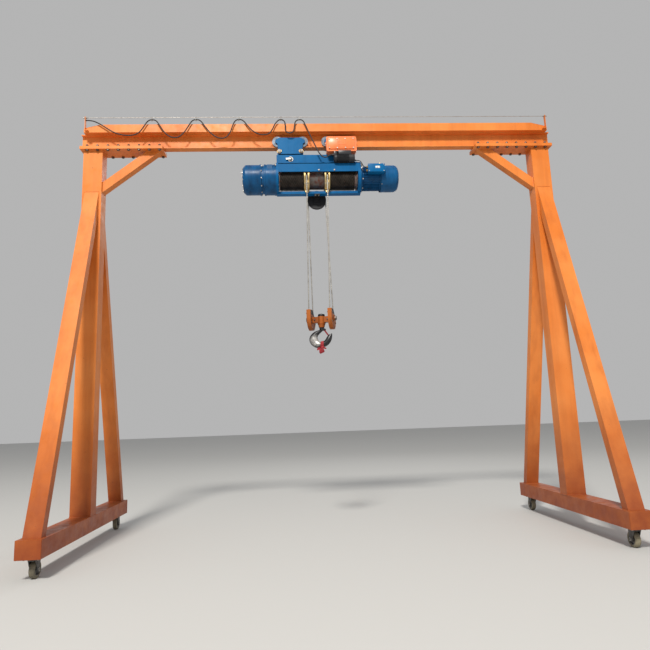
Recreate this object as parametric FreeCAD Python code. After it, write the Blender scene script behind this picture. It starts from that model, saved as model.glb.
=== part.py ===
"""Trackless gantry crane with a twin-trolley wire-rope hoist.

Frame: +X to the right along the girder, +Y to the rear, +Z up. Millimetres.
The origin is at floor level, midway between the two side frames.
"""
import FreeCAD, Part

import math
import os

V = FreeCAD.Vector

# ---------------------------------------------------------------- driving sizes
# side frames
span = 5400.0               # between the centre lines of the two posts
base_length = 2500.0        # bottom beam, end to end
post_width = 220.0          # along X
post_depth = 160.0          # along Y
post_wall = 8.0
post_top_z = 4500.0         # underside of the bolted joint
beam_width = 220.0
beam_height = 160.0
beam_wall = 8.0
closing_plate = 8.0
leg_width = 160.0
leg_depth = 90.0            # square to the leg
leg_wall = 6.0
leg_foot_inset = 63.0       # beam end to the outer face of the leg
leg_head_drop = 518.0       # post top to where the outer face meets the post

# casters
caster_height = 185.0       # floor to the underside of the bottom beam
wheel_radius = 75.0
wheel_width = 50.0
wheel_axle_radius = 10.0
wheel_bore_gap = 0.05
swivel_offset = 42.0        # wheel trails the swivel pin by this much
caster_end_inset = 118.0    # beam end to the swivel pin
caster_plate_length = 160.0
caster_plate_width = 135.0
caster_plate_thickness = 8.0
swivel_head_radius = 44.0
swivel_head_height = 12.0
swivel_gap = 0.3
swivel_pin_radius = 10.0
swivel_pin_gap = 0.05
fork_plate = 7.0
fork_gap = 3.0
swivel_nut_radius = 16.0
swivel_nut_height = 7.0

# knee braces
brace_depth = 100.0
brace_width = 100.0
brace_wall = 6.0
brace_foot_drop = 515.0     # post top to the lower edge at the post
brace_head_inset = 40.0     # inner end of the joint plate to the lower edge

# bolted joint between a side frame and the girder
joint_plate_length = 960.0
joint_plate_width = 240.0
joint_plate_thickness = 18.0
joint_plate_overhang = 35.0  # past the outer face of the post

# girder: rolled beam with a flat box section welded on top
ibeam_height = 180.0
ibeam_flange = 94.0
ibeam_web = 6.5
ibeam_flange_thickness = 10.7
girder_length = 5710.0
cap_width = 200.0
cap_height = 100.0
cap_wall = 6.0
cap_length = 5620.0
cap_bevel_length = 200.0
cap_bevel_drop = 50.0

# festoon: carrier wire, its two brackets and the feed cable
wire_radius = 3.0
wire_y = -125.0
wire_above_cap = 72.0
bracket_width = 40.0
bracket_thickness = 6.0
bracket_half_span = 2790.0
cable_radius = 7.0

# hoist, in its place under the girder
top_plate_drop = 203.0      # post top to the underside of the hoist's top plate
hoist_left = -551.0         # outer face of the left end plate
hoist_right = 455.0         # outer face of the right end plate
left_end_plate = 25.0
right_end_plate = 35.0
end_plate_radius = 185.0
shoulder_reach = 15.0       # past the rope guide, sideways
shoulder_drop = 20.0        # top plate to the top of the shoulder
side_bar_height = 98.0
side_bar_thickness = 10.0
side_bar_drop = 14.0        # top of the end plate to the top of the bar
bottom_bar_width = 80.0
bottom_bar_height = 30.0
bottom_bar_gap = 7.0        # rope guide to the top of the bar
top_plate_half_width = 120.0
top_plate_thickness = 10.0
top_plate_gap = 3.0         # over the rope guide

# rope drum
drum_radius = 120.0
rope_radius = 7.5
drum_flange_rise = 16.0     # over the bare drum
drum_flange = 12.0
drum_wall = 16.0
drum_end_gap = 4.0
drum_shaft_radius = 35.0
drum_shaft_gap = 0.05
guide_width = 62.0
guide_gap = 2.0
guide_thickness = 20.0
guide_slot_share = 0.75     # of the drum's radius, how far down the rope's slot goes
guide_foot_gap = 0.3        # foot to bottom bar
fall_end_gap = 0.6          # straight fall to the curved rope it carries on into
rope_spacing = 246.0        # between the two falls on the drum
rope_centre_x = -70.0       # midway between them

# reducer, hoist motor, terminal box
reducer_radius = 178.0
reducer_length = 395.0
reducer_groove = 30.0
motor_radius = 143.0
motor_length = 245.0
fan_cover_radius = 160.0
fan_cover_length = 215.0
fan_cover_round = 55.0
fan_cover_wall = 12.0
box_length = 195.0
box_height = 98.0
box_depth = 75.0
box_start = 80.0            # right end plate to the box

# equaliser sheave under the drum
equaliser_radius = 114.0
equaliser_drum_gap = 86.0   # wound rope to the equaliser's axis, downwards
equaliser_inset = 31.0      # and inwards
equaliser_width = 36.0
sheave_groove_depth = 16.0
sheave_groove_floor = 11.0
sheave_lip = 3.0
rope_gap = 0.3              # rope to groove or drum
equaliser_pin_radius = 18.0
sheave_bore_gap = 0.05

# trolleys
trolley_half_base = 150.0   # wheel centre to trolley centre
left_trolley_x = -378.0
right_trolley_x = 217.0
tread_radius = 55.0
rim_radius = 66.0
tread_start = 14.0          # from the girder's centre plane
flange_rim_gap = 2.0        # edge of the girder's flange to the rim
rim_width = 11.0
wheel_seat_gap = 0.3
side_plate_gap = 6.0        # rim to side plate
side_plate = 12.0
side_plate_rise = 147.0     # post top to the plate's upper edge
side_plate_drop = 63.0      # and to its lower edge
side_plate_length = 320.0
side_plate_taper = 20.0
side_plate_chamfer = 25.0
stub_radius = 16.0
stub_gap = 0.05
tie_radius = 14.0
tie_drop = 30.0             # post top to the tie bolts
tie_inset = 28.0
tie_nut_radius = 22.0
tie_nut_length = 20.0
tie_gap = 0.5
hanger_half_width = 32.0
hanger_bar_height = 52.0
hanger_lug_half = 45.0
hanger_pin_drop = 144.0     # post top to the trunnions
hanger_pin_radius = 20.0
cheek_thickness = 12.0
cheek_reach = 10.0          # trolley plate to cheek, sideways
frame_left = -545.0
frame_right = 330.0
frame_top_drop = 89.0       # post top to the cheeks' upper edge

# travel drive
gearbox_length = 360.0
gearbox_height = 187.0
gearbox_depth = 100.0
gearbox_drop = 93.0         # post top to the gearbox's underside
gearbox_round = 22.0
gearbox_shift = 15.0        # towards +X from the trolley centre
travel_motor_radius = 50.0
travel_motor_length = 250.0
travel_motor_y = -190.0
travel_motor_drop = 91.0    # gearbox's underside to the motor's axis
travel_motor_shift = 40.0   # towards +X from the trolley centre
lead_radius = 5.0           # wiring from the travel motor to the terminal box
lead_gland_radius = 9.0
lead_exit_length = 18.0     # of the gland on the travel motor
lead_exit_drop = 26.0       # motor axis to the gland on it
lead_entry_length = 15.0    # of the gland on the terminal box
lead_entry_rise = 68.0      # hoist axis to the gland on the box

# hook block
block_turn = 15.0           # degrees, as the ropes' lay holds it
sheave_radius = 118.0
sheave_width = 28.0
sheave_pin_radius = 24.0
sheave_axis_z = 2420.0
cover_radius = 128.0
cover_thickness = 5.0
cover_gap = 4.0
cover_front_height = 100.0  # above the sheave axis, where the cover ends at the front
cover_rear_height = 50.0    # and behind, so that the sheave shows
cover_front_depth = 40.0    # of the high part at the front
crosshead_arm_above = 24.0
crosshead_arm_below = 42.0
crosshead_arm_depth = 62.0
crosshead_radius = 46.0     # of its round middle
crosshead_seat_gap = 0.3    # arm to cover
crosshead_above = 28.0      # of the sheave axis
crosshead_below = 60.0
crosshead_neck = 40.0       # the round collar under the block
hook_shank_radius = 27.0
hook_nut_radius = 40.0
hook_nut_height = 30.0
hook_nut_dome = 14.0
hook_bore_gap = 0.05
hook_bowl_drop = 212.0      # sheave axis to the centre of the bowl
hook_neck_drop = 124.0      # and to where the round shank ends
latch_width = 34.0
latch_thickness = 3.0
latch_depth = 16.0          # of the channel it is pressed to
latch_length = 76.0
latch_pivot_out = 36.0      # shank centre to the latch pin
latch_pivot_drop = 128.0    # sheave axis to the latch pin
latch_angle = 35.0          # degrees from hanging straight down to closed
latch_pin_radius = 4.0
ribbon_width = 44.0
ribbon_thickness = 4.0
ribbon_drop = 66.0          # below the hook
ribbon_under = 126.0        # bowl centre to the cloth under it

# ---------------------------------------------------------------- worked-out levels
post_x = span / 2
beam_bottom_z = caster_height
beam_top_z = beam_bottom_z + beam_height
joint_z = post_top_z + joint_plate_thickness
girder_z = joint_z + joint_plate_thickness
cap_z = girder_z + ibeam_height
cap_top_z = cap_z + cap_height
plate_outer_x = post_x + post_width / 2 + joint_plate_overhang
plate_inner_x = plate_outer_x - joint_plate_length
wire_z = cap_top_z + wire_above_cap
wound_radius = drum_radius + 2 * rope_radius
ring_radius = wound_radius + guide_gap + guide_thickness
top_plate_z = post_top_z - top_plate_drop
axis_z = top_plate_z - ring_radius - top_plate_gap
bottom_bar_radius = ring_radius + bottom_bar_gap
shoulder_half_width = ring_radius + shoulder_reach
shoulder_height = ring_radius + top_plate_gap - shoulder_drop
drum_flange_radius = drum_radius + drum_flange_rise
equaliser_z = axis_z - wound_radius - equaliser_drum_gap
equaliser_y = wound_radius - equaliser_inset
tread_end = ibeam_flange / 2 + flange_rim_gap
rim_end = tread_end + rim_width
cheek_inner = rim_end + side_plate_gap + side_plate + cheek_reach
side_plate_top = post_top_z + side_plate_rise
side_plate_bottom = post_top_z - side_plate_drop
tie_z = post_top_z - tie_drop
hanger_pin_z = post_top_z - hanger_pin_drop
frame_top = post_top_z - frame_top_drop
gearbox_bottom = post_top_z - gearbox_drop
travel_motor_z = gearbox_bottom - travel_motor_drop
lead_exit_z = travel_motor_z - lead_exit_drop
lead_entry_z = axis_z + lead_entry_rise
hook_bowl_z = sheave_axis_z - hook_bowl_drop
hook_neck_z = sheave_axis_z - hook_neck_drop
latch_pivot_z = sheave_axis_z - latch_pivot_drop

PARTS = "parts"
os.makedirs(PARTS, exist_ok=True)


# ---------------------------------------------------------------- shape helpers
def box(x0, x1, y0, y1, z0, z1):
    return Part.makeBox(x1 - x0, y1 - y0, z1 - z0, V(x0, y0, z0))


def centred_box(x, y, z0, length, width, height):
    return box(x - length / 2, x + length / 2, y - width / 2, y + width / 2, z0, z0 + height)


def prism(points, direction):
    """A closed outline of 3-D points pushed along a vector."""
    wire = Part.makePolygon([V(*p) for p in points] + [V(*points[0])])
    return Part.Face(wire).extrude(V(*direction))


def rod(x, y, z, radius, length, axis):
    return Part.makeCylinder(radius, length, V(x, y, z), V(*axis))


def turned(profile):
    """Revolve (x, r) pairs about the hoist axis."""
    points = [V(x, 0, axis_z + r) for x, r in profile]
    wire = Part.makePolygon(points + [points[0]])
    return Part.Face(wire).revolve(V(0, 0, axis_z), V(1, 0, 0), 360)


def mirrored(shape):
    """The same piece on the other side of the X = 0 plane."""
    return shape.mirror(V(0, 0, 0), V(1, 0, 0))


def to_rear(shape):
    """The same piece on the other side of the Y = 0 plane."""
    return shape.mirror(V(0, 0, 0), V(0, 1, 0))


def turn_block(shape):
    """Turn a hook block piece by the ropes' lay, about the vertical line through the hook."""
    copy = shape.copy()
    copy.rotate(V(rope_centre_x, 0, 0), V(0, 0, 1), -block_turn)
    return copy


def write(node, *solids):
    shape = solids[0] if len(solids) == 1 else Part.makeCompound(list(solids))
    volume = sum(s.Volume for s in shape.Solids)
    print(f"{node}: {len(shape.Solids)} solid(s), {volume / 1e6:.2f} dm3, valid {shape.isValid()}")
    shape.exportStep(f"{PARTS}/{node}.step")


# ---------------------------------------------------------------- side frames
def post():
    tube = centred_box(-post_x, 0, beam_top_z, post_width, post_depth, post_top_z - beam_top_z)
    bore = centred_box(-post_x, 0, beam_top_z - 1, post_width - 2 * post_wall,
                       post_depth - 2 * post_wall, post_top_z - beam_top_z + 2)
    return tube.cut(bore)


def bottom_beam():
    length = base_length - 2 * closing_plate
    tube = centred_box(-post_x, 0, beam_bottom_z, beam_width, length, beam_height)
    bore = centred_box(-post_x, 0, beam_bottom_z + beam_wall, beam_width - 2 * beam_wall,
                       length + 2, beam_height - 2 * beam_wall)
    return tube.cut(bore)


def beam_closing_plate():
    y = -base_length / 2 + closing_plate / 2
    return centred_box(-post_x, y, beam_bottom_z, beam_width, closing_plate, beam_height)


def front_leg():
    foot_y = -base_length / 2 + leg_foot_inset
    head_y = -post_depth / 2
    head_z = post_top_z - leg_head_drop
    slope = math.atan2(head_y - foot_y, head_z - beam_top_z)
    run = V(0, math.sin(slope), math.cos(slope))
    across = V(0, math.cos(slope), -math.sin(slope))
    level_depth = leg_depth / math.cos(slope)
    drop = level_depth / math.tan(slope)
    x0 = -post_x - leg_width / 2
    outline = [(x0, foot_y, beam_top_z), (x0, head_y, head_z),
               (x0, head_y, head_z - drop), (x0, foot_y + level_depth, beam_top_z)]
    leg = prism(outline, (leg_width, 0, 0))
    start = V(x0 + leg_wall, foot_y, beam_top_z) + across * leg_wall - run * leg_depth
    length = (head_z - beam_top_z) / math.cos(slope) + 2 * leg_depth
    far = start + across * (leg_depth - 2 * leg_wall)
    bore = prism([start, start + run * length, far + run * length, far],
                 (leg_width - 2 * leg_wall, 0, 0))
    return leg.cut(bore)


def knee_brace():
    foot_x = -post_x + post_width / 2
    foot_z = post_top_z - brace_foot_drop
    head_x = -plate_inner_x - brace_head_inset
    slope = math.atan2(brace_foot_drop, head_x - foot_x)
    rise = brace_depth / math.cos(slope)
    back = brace_depth / math.sin(slope)
    y0 = -brace_width / 2
    outline = [(foot_x, y0, foot_z), (head_x, y0, post_top_z),
               (head_x - back, y0, post_top_z), (foot_x, y0, foot_z + rise)]
    brace = prism(outline, (0, brace_width, 0))
    run = V(math.cos(slope), 0, math.sin(slope))
    across = V(-math.sin(slope), 0, math.cos(slope))
    start = V(foot_x, y0 + brace_wall, foot_z) + across * brace_wall - run * brace_depth
    far = start + across * (brace_depth - 2 * brace_wall)
    length = brace_foot_drop / math.sin(slope) + 2 * brace_depth
    bore = prism([start, start + run * length, far + run * length, far],
                 (0, brace_width - 2 * brace_wall, 0))
    return brace.cut(bore)


def joint_plate(z):
    return box(-plate_outer_x, -plate_inner_x, -joint_plate_width / 2, joint_plate_width / 2,
               z, z + joint_plate_thickness)


left_post = post()
write("left_post", left_post)
write("right_post", mirrored(left_post))
left_beam = bottom_beam()
write("left_bottom_beam", left_beam)
write("right_bottom_beam", mirrored(left_beam))
leg = front_leg()
write("left_legs", leg, to_rear(leg))
write("right_legs", mirrored(leg), mirrored(to_rear(leg)))
brace = knee_brace()
write("knee_braces", brace, mirrored(brace))
frame_plate = joint_plate(post_top_z)
write("post_top_plates", frame_plate, mirrored(frame_plate))
girder_plate = joint_plate(joint_z)
write("girder_joint_plates", girder_plate, mirrored(girder_plate))


# ---------------------------------------------------------------- girder
def rolled_beam():
    half = ibeam_flange / 2
    web = ibeam_web / 2
    top = girder_z + ibeam_height
    x0 = -girder_length / 2
    outline = [(-half, girder_z), (half, girder_z),
               (half, girder_z + ibeam_flange_thickness), (web, girder_z + ibeam_flange_thickness),
               (web, top - ibeam_flange_thickness), (half, top - ibeam_flange_thickness),
               (half, top), (-half, top),
               (-half, top - ibeam_flange_thickness), (-web, top - ibeam_flange_thickness),
               (-web, girder_z + ibeam_flange_thickness),
               (-half, girder_z + ibeam_flange_thickness)]
    return prism([(x0, y, z) for y, z in outline], (girder_length, 0, 0))


def cap_end_cut():
    """The space beyond the sloped and upright closing plates at the left end."""
    end = -cap_length / 2
    nose_z = cap_top_z - cap_bevel_drop
    y0 = -cap_width
    return prism([(end - 50, y0, cap_z - 1), (end + cap_wall, y0, cap_z - 1),
                  (end + cap_wall, y0, nose_z - cap_wall),
                  (end + cap_bevel_length, y0, cap_top_z - cap_wall),
                  (end + cap_bevel_length, y0, cap_top_z + 50), (end - 50, y0, cap_top_z + 50)],
                 (0, 2 * cap_width, 0))


def cap_closing_plate():
    end = -cap_length / 2
    nose_z = cap_top_z - cap_bevel_drop
    y0 = -cap_width / 2
    return prism([(end, y0, cap_z), (end + cap_wall, y0, cap_z),
                  (end + cap_wall, y0, nose_z - cap_wall),
                  (end + cap_bevel_length, y0, cap_top_z - cap_wall),
                  (end + cap_bevel_length, y0, cap_top_z), (end, y0, nose_z)],
                 (0, cap_width, 0))


cap_tube = centred_box(0, 0, cap_z, cap_length, cap_width, cap_height)
cap_bore = centred_box(0, 0, cap_z + cap_wall, cap_length + 2, cap_width - 2 * cap_wall,
                       cap_height - 2 * cap_wall)
cap = cap_tube.cut(cap_bore).cut(cap_end_cut()).cut(mirrored(cap_end_cut()))
write("girder_beam", rolled_beam())
write("girder_cap", cap)

beam_end = beam_closing_plate()
cap_end = cap_closing_plate()
write("closing_plates", beam_end, to_rear(beam_end), mirrored(beam_end),
      mirrored(to_rear(beam_end)), cap_end, mirrored(cap_end))


# ---------------------------------------------------------------- festoon
def festoon_bracket():
    """A flat arm welded to the cap's front face, up to the wire."""
    x0 = -bracket_half_span
    front = -cap_width / 2
    foot = cap_top_z - cap_bevel_drop - bracket_width
    arm = box(x0, x0 + bracket_width, wire_y - 12, front, foot, foot + bracket_thickness)
    upright = box(x0, x0 + bracket_thickness, wire_y - 12, front, foot, wire_z + 14)
    bracket = arm.fuse(upright)
    hole = rod(x0 - 1, wire_y, wire_z, wire_radius + 0.3, bracket_thickness + 2, (1, 0, 0))
    return bracket.cut(hole).removeSplitter()


def carrier_wire():
    end = bracket_half_span + 8
    wire = rod(-end, wire_y, wire_z, wire_radius, 2 * end, (1, 0, 0))
    knob = rod(-end - 12, wire_y, wire_z, wire_radius + 5, 12, (1, 0, 0))
    return wire.fuse([knob, mirrored(knob)]).removeSplitter()


def cord_tube(points, radius):
    """Straight runs joined by tangent arcs, each as large as its two runs allow."""
    points = [V(*p) for p in points]
    edges = []
    radii = []
    position = points[0]
    for before, corner, after in zip(points, points[1:], points[2:]):
        incoming = corner - before
        outgoing = after - corner
        shorter = min(incoming.Length, outgoing.Length)
        turn = incoming.getAngle(outgoing)
        arc_radius = 0.45 * shorter / math.tan(turn / 2)
        radii.append(arc_radius)
        reach = 0.45 * shorter
        incoming.normalize()
        outgoing.normalize()
        start = corner - incoming * reach
        end = corner + outgoing * reach
        inward = outgoing - incoming
        inward.normalize()
        middle = corner + inward * (arc_radius / math.cos(turn / 2) - arc_radius)
        edges.append(Part.LineSegment(position, start).toShape())
        edges.append(Part.Arc(start, middle, end).toShape())
        position = end
    edges.append(Part.LineSegment(position, points[-1]).toShape())
    path = Part.Wire(edges)
    section = Part.Wire(Part.makeCircle(radius, points[0], points[1] - points[0]))
    tube = path.makePipeShell([section], True, False)
    ratio = tube.Volume / (math.pi * radius ** 2 * path.Length)
    print(f"cord: length {path.Length:.0f}, radii {[round(r) for r in radii]}, volume ratio {ratio:.4f}")
    return tube


bracket = festoon_bracket()
write("festoon_brackets", bracket, mirrored(bracket))
write("festoon_wire", carrier_wire())


# ---------------------------------------------------------------- casters
def caster_plate(x, y):
    top = beam_bottom_z
    under = top - caster_plate_thickness
    plate = centred_box(x, y, under, caster_plate_length, caster_plate_width, caster_plate_thickness)
    head = rod(x, y, under - swivel_head_height, swivel_head_radius, swivel_head_height, (0, 0, 1))
    nut_z = under - swivel_head_height - 2 * swivel_gap - fork_plate - swivel_nut_height
    pin = rod(x, y, nut_z, swivel_pin_radius, under - nut_z, (0, 0, 1))
    nut = rod(x, y, nut_z, swivel_nut_radius, swivel_nut_height, (0, 0, 1))
    return plate.fuse([head, pin, nut]).removeSplitter()


def caster_fork(x, y, trail):
    """A bent plate: a crown under the head and two cheeks down to the axle."""
    crown_top = beam_bottom_z - caster_plate_thickness - swivel_head_height - swivel_gap
    inner = wheel_width / 2 + fork_gap
    outer = inner + fork_plate
    axle_y = y + trail * swivel_offset
    crown = Part.makeCylinder(swivel_head_radius, fork_plate, V(x, y, crown_top - fork_plate))
    far = axle_y + trail * 24
    low, high = min(y - trail * 30, far), max(y - trail * 30, far)
    crown = crown.fuse(box(x - outer, x + outer, low, high, crown_top - fork_plate, crown_top))
    pieces = []
    for side in (-1, 1):
        face = x + side * outer if side < 0 else x + inner
        outline = [(face, y - trail * 30, crown_top), (face, far, crown_top),
                   (face, axle_y + trail * 20, wheel_radius - 20),
                   (face, axle_y - trail * 20, wheel_radius - 20)]
        pieces.append(prism(outline, (fork_plate, 0, 0)))
    axle = rod(x - outer - 8, axle_y, wheel_radius, wheel_axle_radius, 2 * outer + 16, (1, 0, 0))
    fork = crown.fuse(pieces + [axle])
    bore = rod(x, y, crown_top - fork_plate - 1, swivel_pin_radius + swivel_pin_gap,
               fork_plate + 2, (0, 0, 1))
    return fork.cut(bore).removeSplitter()


def caster_wheel(x, y, trail):
    axle_y = y + trail * swivel_offset
    wheel = rod(x - wheel_width / 2, axle_y, wheel_radius, wheel_radius, wheel_width, (1, 0, 0))
    wheel = wheel.makeFillet(8, [e for e in wheel.Edges if e.Curve.TypeId == "Part::GeomCircle"])
    bore = rod(x - wheel_width, axle_y, wheel_radius, wheel_axle_radius + wheel_bore_gap,
               2 * wheel_width, (1, 0, 0))
    return wheel.cut(bore)


caster_y = base_length / 2 - caster_end_inset
places = {"front_left": (-post_x, -caster_y, 1), "front_right": (post_x, -caster_y, 1),
          "rear_left": (-post_x, caster_y, 1), "rear_right": (post_x, caster_y, 1)}
write("caster_plates", *[caster_plate(x, y) for x, y, trail in places.values()])
for place, (x, y, trail) in places.items():
    write(f"{place}_caster_fork", caster_fork(x, y, trail))
    write(f"{place}_caster_wheel", caster_wheel(x, y, trail))


# ---------------------------------------------------------------- trolleys
rail_z = girder_z + ibeam_flange_thickness
trolley_wheel_z = rail_z + tread_radius + wheel_seat_gap
plate_face = rim_end + side_plate_gap


def trolley_side_plate(x):
    """The front side plate with its two stub axles."""
    half = side_plate_length / 2
    y0 = -plate_face - side_plate
    outline = [(x - half + side_plate_chamfer, y0, side_plate_top),
               (x + half - side_plate_chamfer, y0, side_plate_top),
               (x + half, y0, side_plate_top - side_plate_chamfer),
               (x + half - side_plate_taper, y0, side_plate_bottom),
               (x - half + side_plate_taper, y0, side_plate_bottom),
               (x - half, y0, side_plate_top - side_plate_chamfer)]
    plate = prism(outline, (0, side_plate, 0))
    for side in (-1, 1):
        stub_x = x + side * trolley_half_base
        stub = rod(stub_x, -plate_face, trolley_wheel_z, stub_radius, rim_end - tread_start + side_plate_gap,
                   (0, 1, 0))
        washer = rod(stub_x, -plate_face, trolley_wheel_z, stub_radius + 8,
                     side_plate_gap - 1, (0, 1, 0))
        boss = rod(stub_x, -plate_face - side_plate, trolley_wheel_z, stub_radius + 14,
                   side_plate, (0, 1, 0))
        plate = plate.fuse([stub, washer, boss])
    for side in (-1, 1):
        hole_x = x + side * (half - tie_inset)
        plate = plate.cut(rod(hole_x, y0 - 1, tie_z, tie_radius + tie_gap, side_plate + 2, (0, 1, 0)))
    return plate.removeSplitter()


def trolley_wheel(x):
    """Front wheel: tread on the flange, rim outside it."""
    tread = rod(x, -tread_end, trolley_wheel_z, tread_radius, tread_end - tread_start, (0, 1, 0))
    rim = rod(x, -rim_end, trolley_wheel_z, rim_radius, rim_end - tread_end, (0, 1, 0))
    bore = rod(x, -rim_end - 1, trolley_wheel_z, stub_radius + stub_gap, rim_end, (0, 1, 0))
    return tread.fuse(rim).cut(bore).removeSplitter()


def tie_bolt(x):
    reach = plate_face + side_plate
    bolt = rod(x, -reach - tie_nut_length, tie_z, tie_radius, 2 * (reach + tie_nut_length), (0, 1, 0))
    nut = rod(x, -reach - tie_nut_length + 4, tie_z, tie_nut_radius, tie_nut_length - 4, (0, 1, 0))
    return bolt.fuse([nut, to_rear(nut)]).removeSplitter()


def hanger(x):
    """A bar on the two tie bolts with a lug and trunnion down to the hoist."""
    half = side_plate_length / 2
    bar = box(x - half + 4, x + half - 4, -hanger_half_width, hanger_half_width,
              tie_z - hanger_bar_height / 2, tie_z + hanger_bar_height / 2)
    lug = box(x - hanger_lug_half, x + hanger_lug_half, -hanger_half_width, hanger_half_width,
              hanger_pin_z - 34, tie_z)
    reach = cheek_inner + cheek_thickness + 14
    pin = rod(x, -reach, hanger_pin_z, hanger_pin_radius, 2 * reach, (0, 1, 0))
    shape = bar.fuse([lug, pin])
    for side in (-1, 1):
        bolt_x = x + side * (half - tie_inset)
        shape = shape.cut(rod(bolt_x, -hanger_half_width - 1, tie_z, tie_radius + tie_gap,
                              2 * hanger_half_width + 2, (0, 1, 0)))
    return shape.removeSplitter()


trolleys = {"left": left_trolley_x, "right": right_trolley_x}
for name, x in trolleys.items():
    plate = trolley_side_plate(x)
    write(f"{name}_trolley_plates", plate, to_rear(plate))
    for end, side in (("left", -1), ("right", 1)):
        wheel = trolley_wheel(x + side * trolley_half_base)
        write(f"{name}_trolley_{end}_wheels", wheel, to_rear(wheel))
tie_reach = side_plate_length / 2 - tie_inset
write("trolley_tie_bolts", *[tie_bolt(x + side * tie_reach) for x in trolleys.values() for side in (-1, 1)])
write("trolley_hangers", *[hanger(x) for x in trolleys.values()])


# ---------------------------------------------------------------- travel drive
gearbox_x0 = right_trolley_x - gearbox_length / 2 + gearbox_shift
gearbox_back = -plate_face - side_plate - tie_nut_length - 2
gearbox = box(gearbox_x0, gearbox_x0 + gearbox_length, gearbox_back - gearbox_depth, gearbox_back,
              gearbox_bottom, gearbox_bottom + gearbox_height)
gearbox = gearbox.makeFillet(gearbox_round, [e for e in gearbox.Edges
                                             if abs(e.BoundBox.YLength - gearbox_depth) < 0.1])
for side in (-1, 1):
    seat_x = right_trolley_x + side * trolley_half_base
    gearbox = gearbox.fuse(box(seat_x - 22, seat_x + 22, gearbox_back - 1, -plate_face - side_plate,
                               gearbox_bottom + gearbox_height - 70,
                               gearbox_bottom + gearbox_height - 22))
write("travel_gearbox", gearbox.removeSplitter())

motor_x0 = right_trolley_x + travel_motor_shift - travel_motor_length / 2
travel_motor = rod(motor_x0, travel_motor_y, travel_motor_z, travel_motor_radius,
                   travel_motor_length, (1, 0, 0))
pad_bottom = travel_motor_z + travel_motor_radius - 12
travel_motor = travel_motor.fuse(centred_box(motor_x0 + travel_motor_length / 2, travel_motor_y,
                                             pad_bottom, 150, 70, gearbox_bottom - pad_bottom))
gland_z = 4364.0
terminal = box(motor_x0 + 6, motor_x0 + 44, travel_motor_y - 22, travel_motor_y + 22,
               travel_motor_z + 32, gearbox_bottom - 4)
gland = rod(118, travel_motor_y, gland_z, cable_radius + 5, motor_x0 + 7 - 118, (1, 0, 0))
motor_far = motor_x0 + travel_motor_length
lead_exit = rod(motor_far - 1, travel_motor_y, lead_exit_z, lead_gland_radius, lead_exit_length + 1,
                (1, 0, 0))
travel_motor = travel_motor.fuse([terminal, gland, lead_exit])
write("travel_motor", travel_motor.removeSplitter())


# ---------------------------------------------------------------- hoist housing
top_z = top_plate_z + top_plate_thickness
bay_left = hoist_left + left_end_plate
bay_right = hoist_right - right_end_plate


def suspension_frame():
    """Top plate of the hoist with the two cheeks that hang on the trolleys."""
    plate = box(bay_left, bay_right, -top_plate_half_width, top_plate_half_width, top_plate_z, top_z)
    cheek = box(frame_left, frame_right, -cheek_inner - cheek_thickness, -cheek_inner,
                top_z - 1, frame_top)
    frame = plate.fuse([cheek, to_rear(cheek)])
    for x in (bay_left, frame_right - cheek_thickness):
        frame = frame.fuse(box(x, x + cheek_thickness, -cheek_inner - 1, cheek_inner + 1,
                               top_z - 1, frame_top - 30))
    for x in trolleys.values():
        reach = cheek_inner + cheek_thickness + 1
        frame = frame.cut(rod(x, -reach, hanger_pin_z, hanger_pin_radius + tie_gap, 2 * reach,
                              (0, 1, 0)))
    return frame.removeSplitter()


def end_plate(x0, thickness):
    disc = rod(x0, 0, axis_z, end_plate_radius, thickness, (1, 0, 0))
    shoulder = box(x0, x0 + thickness, -shoulder_half_width, shoulder_half_width, axis_z,
                   axis_z + shoulder_height)
    neck = box(x0, x0 + thickness, -top_plate_half_width, top_plate_half_width, axis_z, top_plate_z)
    foot = box(x0, x0 + thickness, -bottom_bar_width / 2, bottom_bar_width / 2,
               axis_z - bottom_bar_radius - bottom_bar_height, axis_z)
    hole = rod(x0 - 1, 0, axis_z, drum_shaft_radius + drum_shaft_gap, thickness + 2, (1, 0, 0))
    return disc.fuse([shoulder, neck, foot]).cut(hole).removeSplitter()


write("suspension_frame", suspension_frame())
write("hoist_end_plates", end_plate(hoist_left, left_end_plate), end_plate(bay_right, right_end_plate))
bar_top = axis_z + shoulder_height - side_bar_drop
side_bar = box(bay_left, bay_right, -shoulder_half_width, -shoulder_half_width + side_bar_thickness,
               bar_top - side_bar_height, bar_top)
bottom_bar_z = axis_z - bottom_bar_radius - bottom_bar_height
bottom_bar = box(bay_left, bay_right, -bottom_bar_width / 2, bottom_bar_width / 2,
                 bottom_bar_z, bottom_bar_z + bottom_bar_height)
write("hoist_tie_bars", side_bar, to_rear(side_bar), bottom_bar)

reducer_left = hoist_left - reducer_length
groove_x = reducer_left + 0.55 * reducer_length
reducer = turned([
    (reducer_left, 0), (reducer_left, reducer_radius - 30), (reducer_left + 30, reducer_radius),
    (groove_x, reducer_radius), (groove_x, reducer_radius - 12),
    (groove_x + reducer_groove, reducer_radius - 12), (groove_x + reducer_groove, reducer_radius + 2),
    (hoist_left - 24, reducer_radius + 2), (hoist_left - 24, end_plate_radius),
    (hoist_left, end_plate_radius), (hoist_left, 0)])
filler = box(hoist_left - 108, hoist_left - 46, -165, -90, axis_z + 60, axis_z + 124)
write("gear_reducer", reducer.fuse(filler).removeSplitter())

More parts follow.
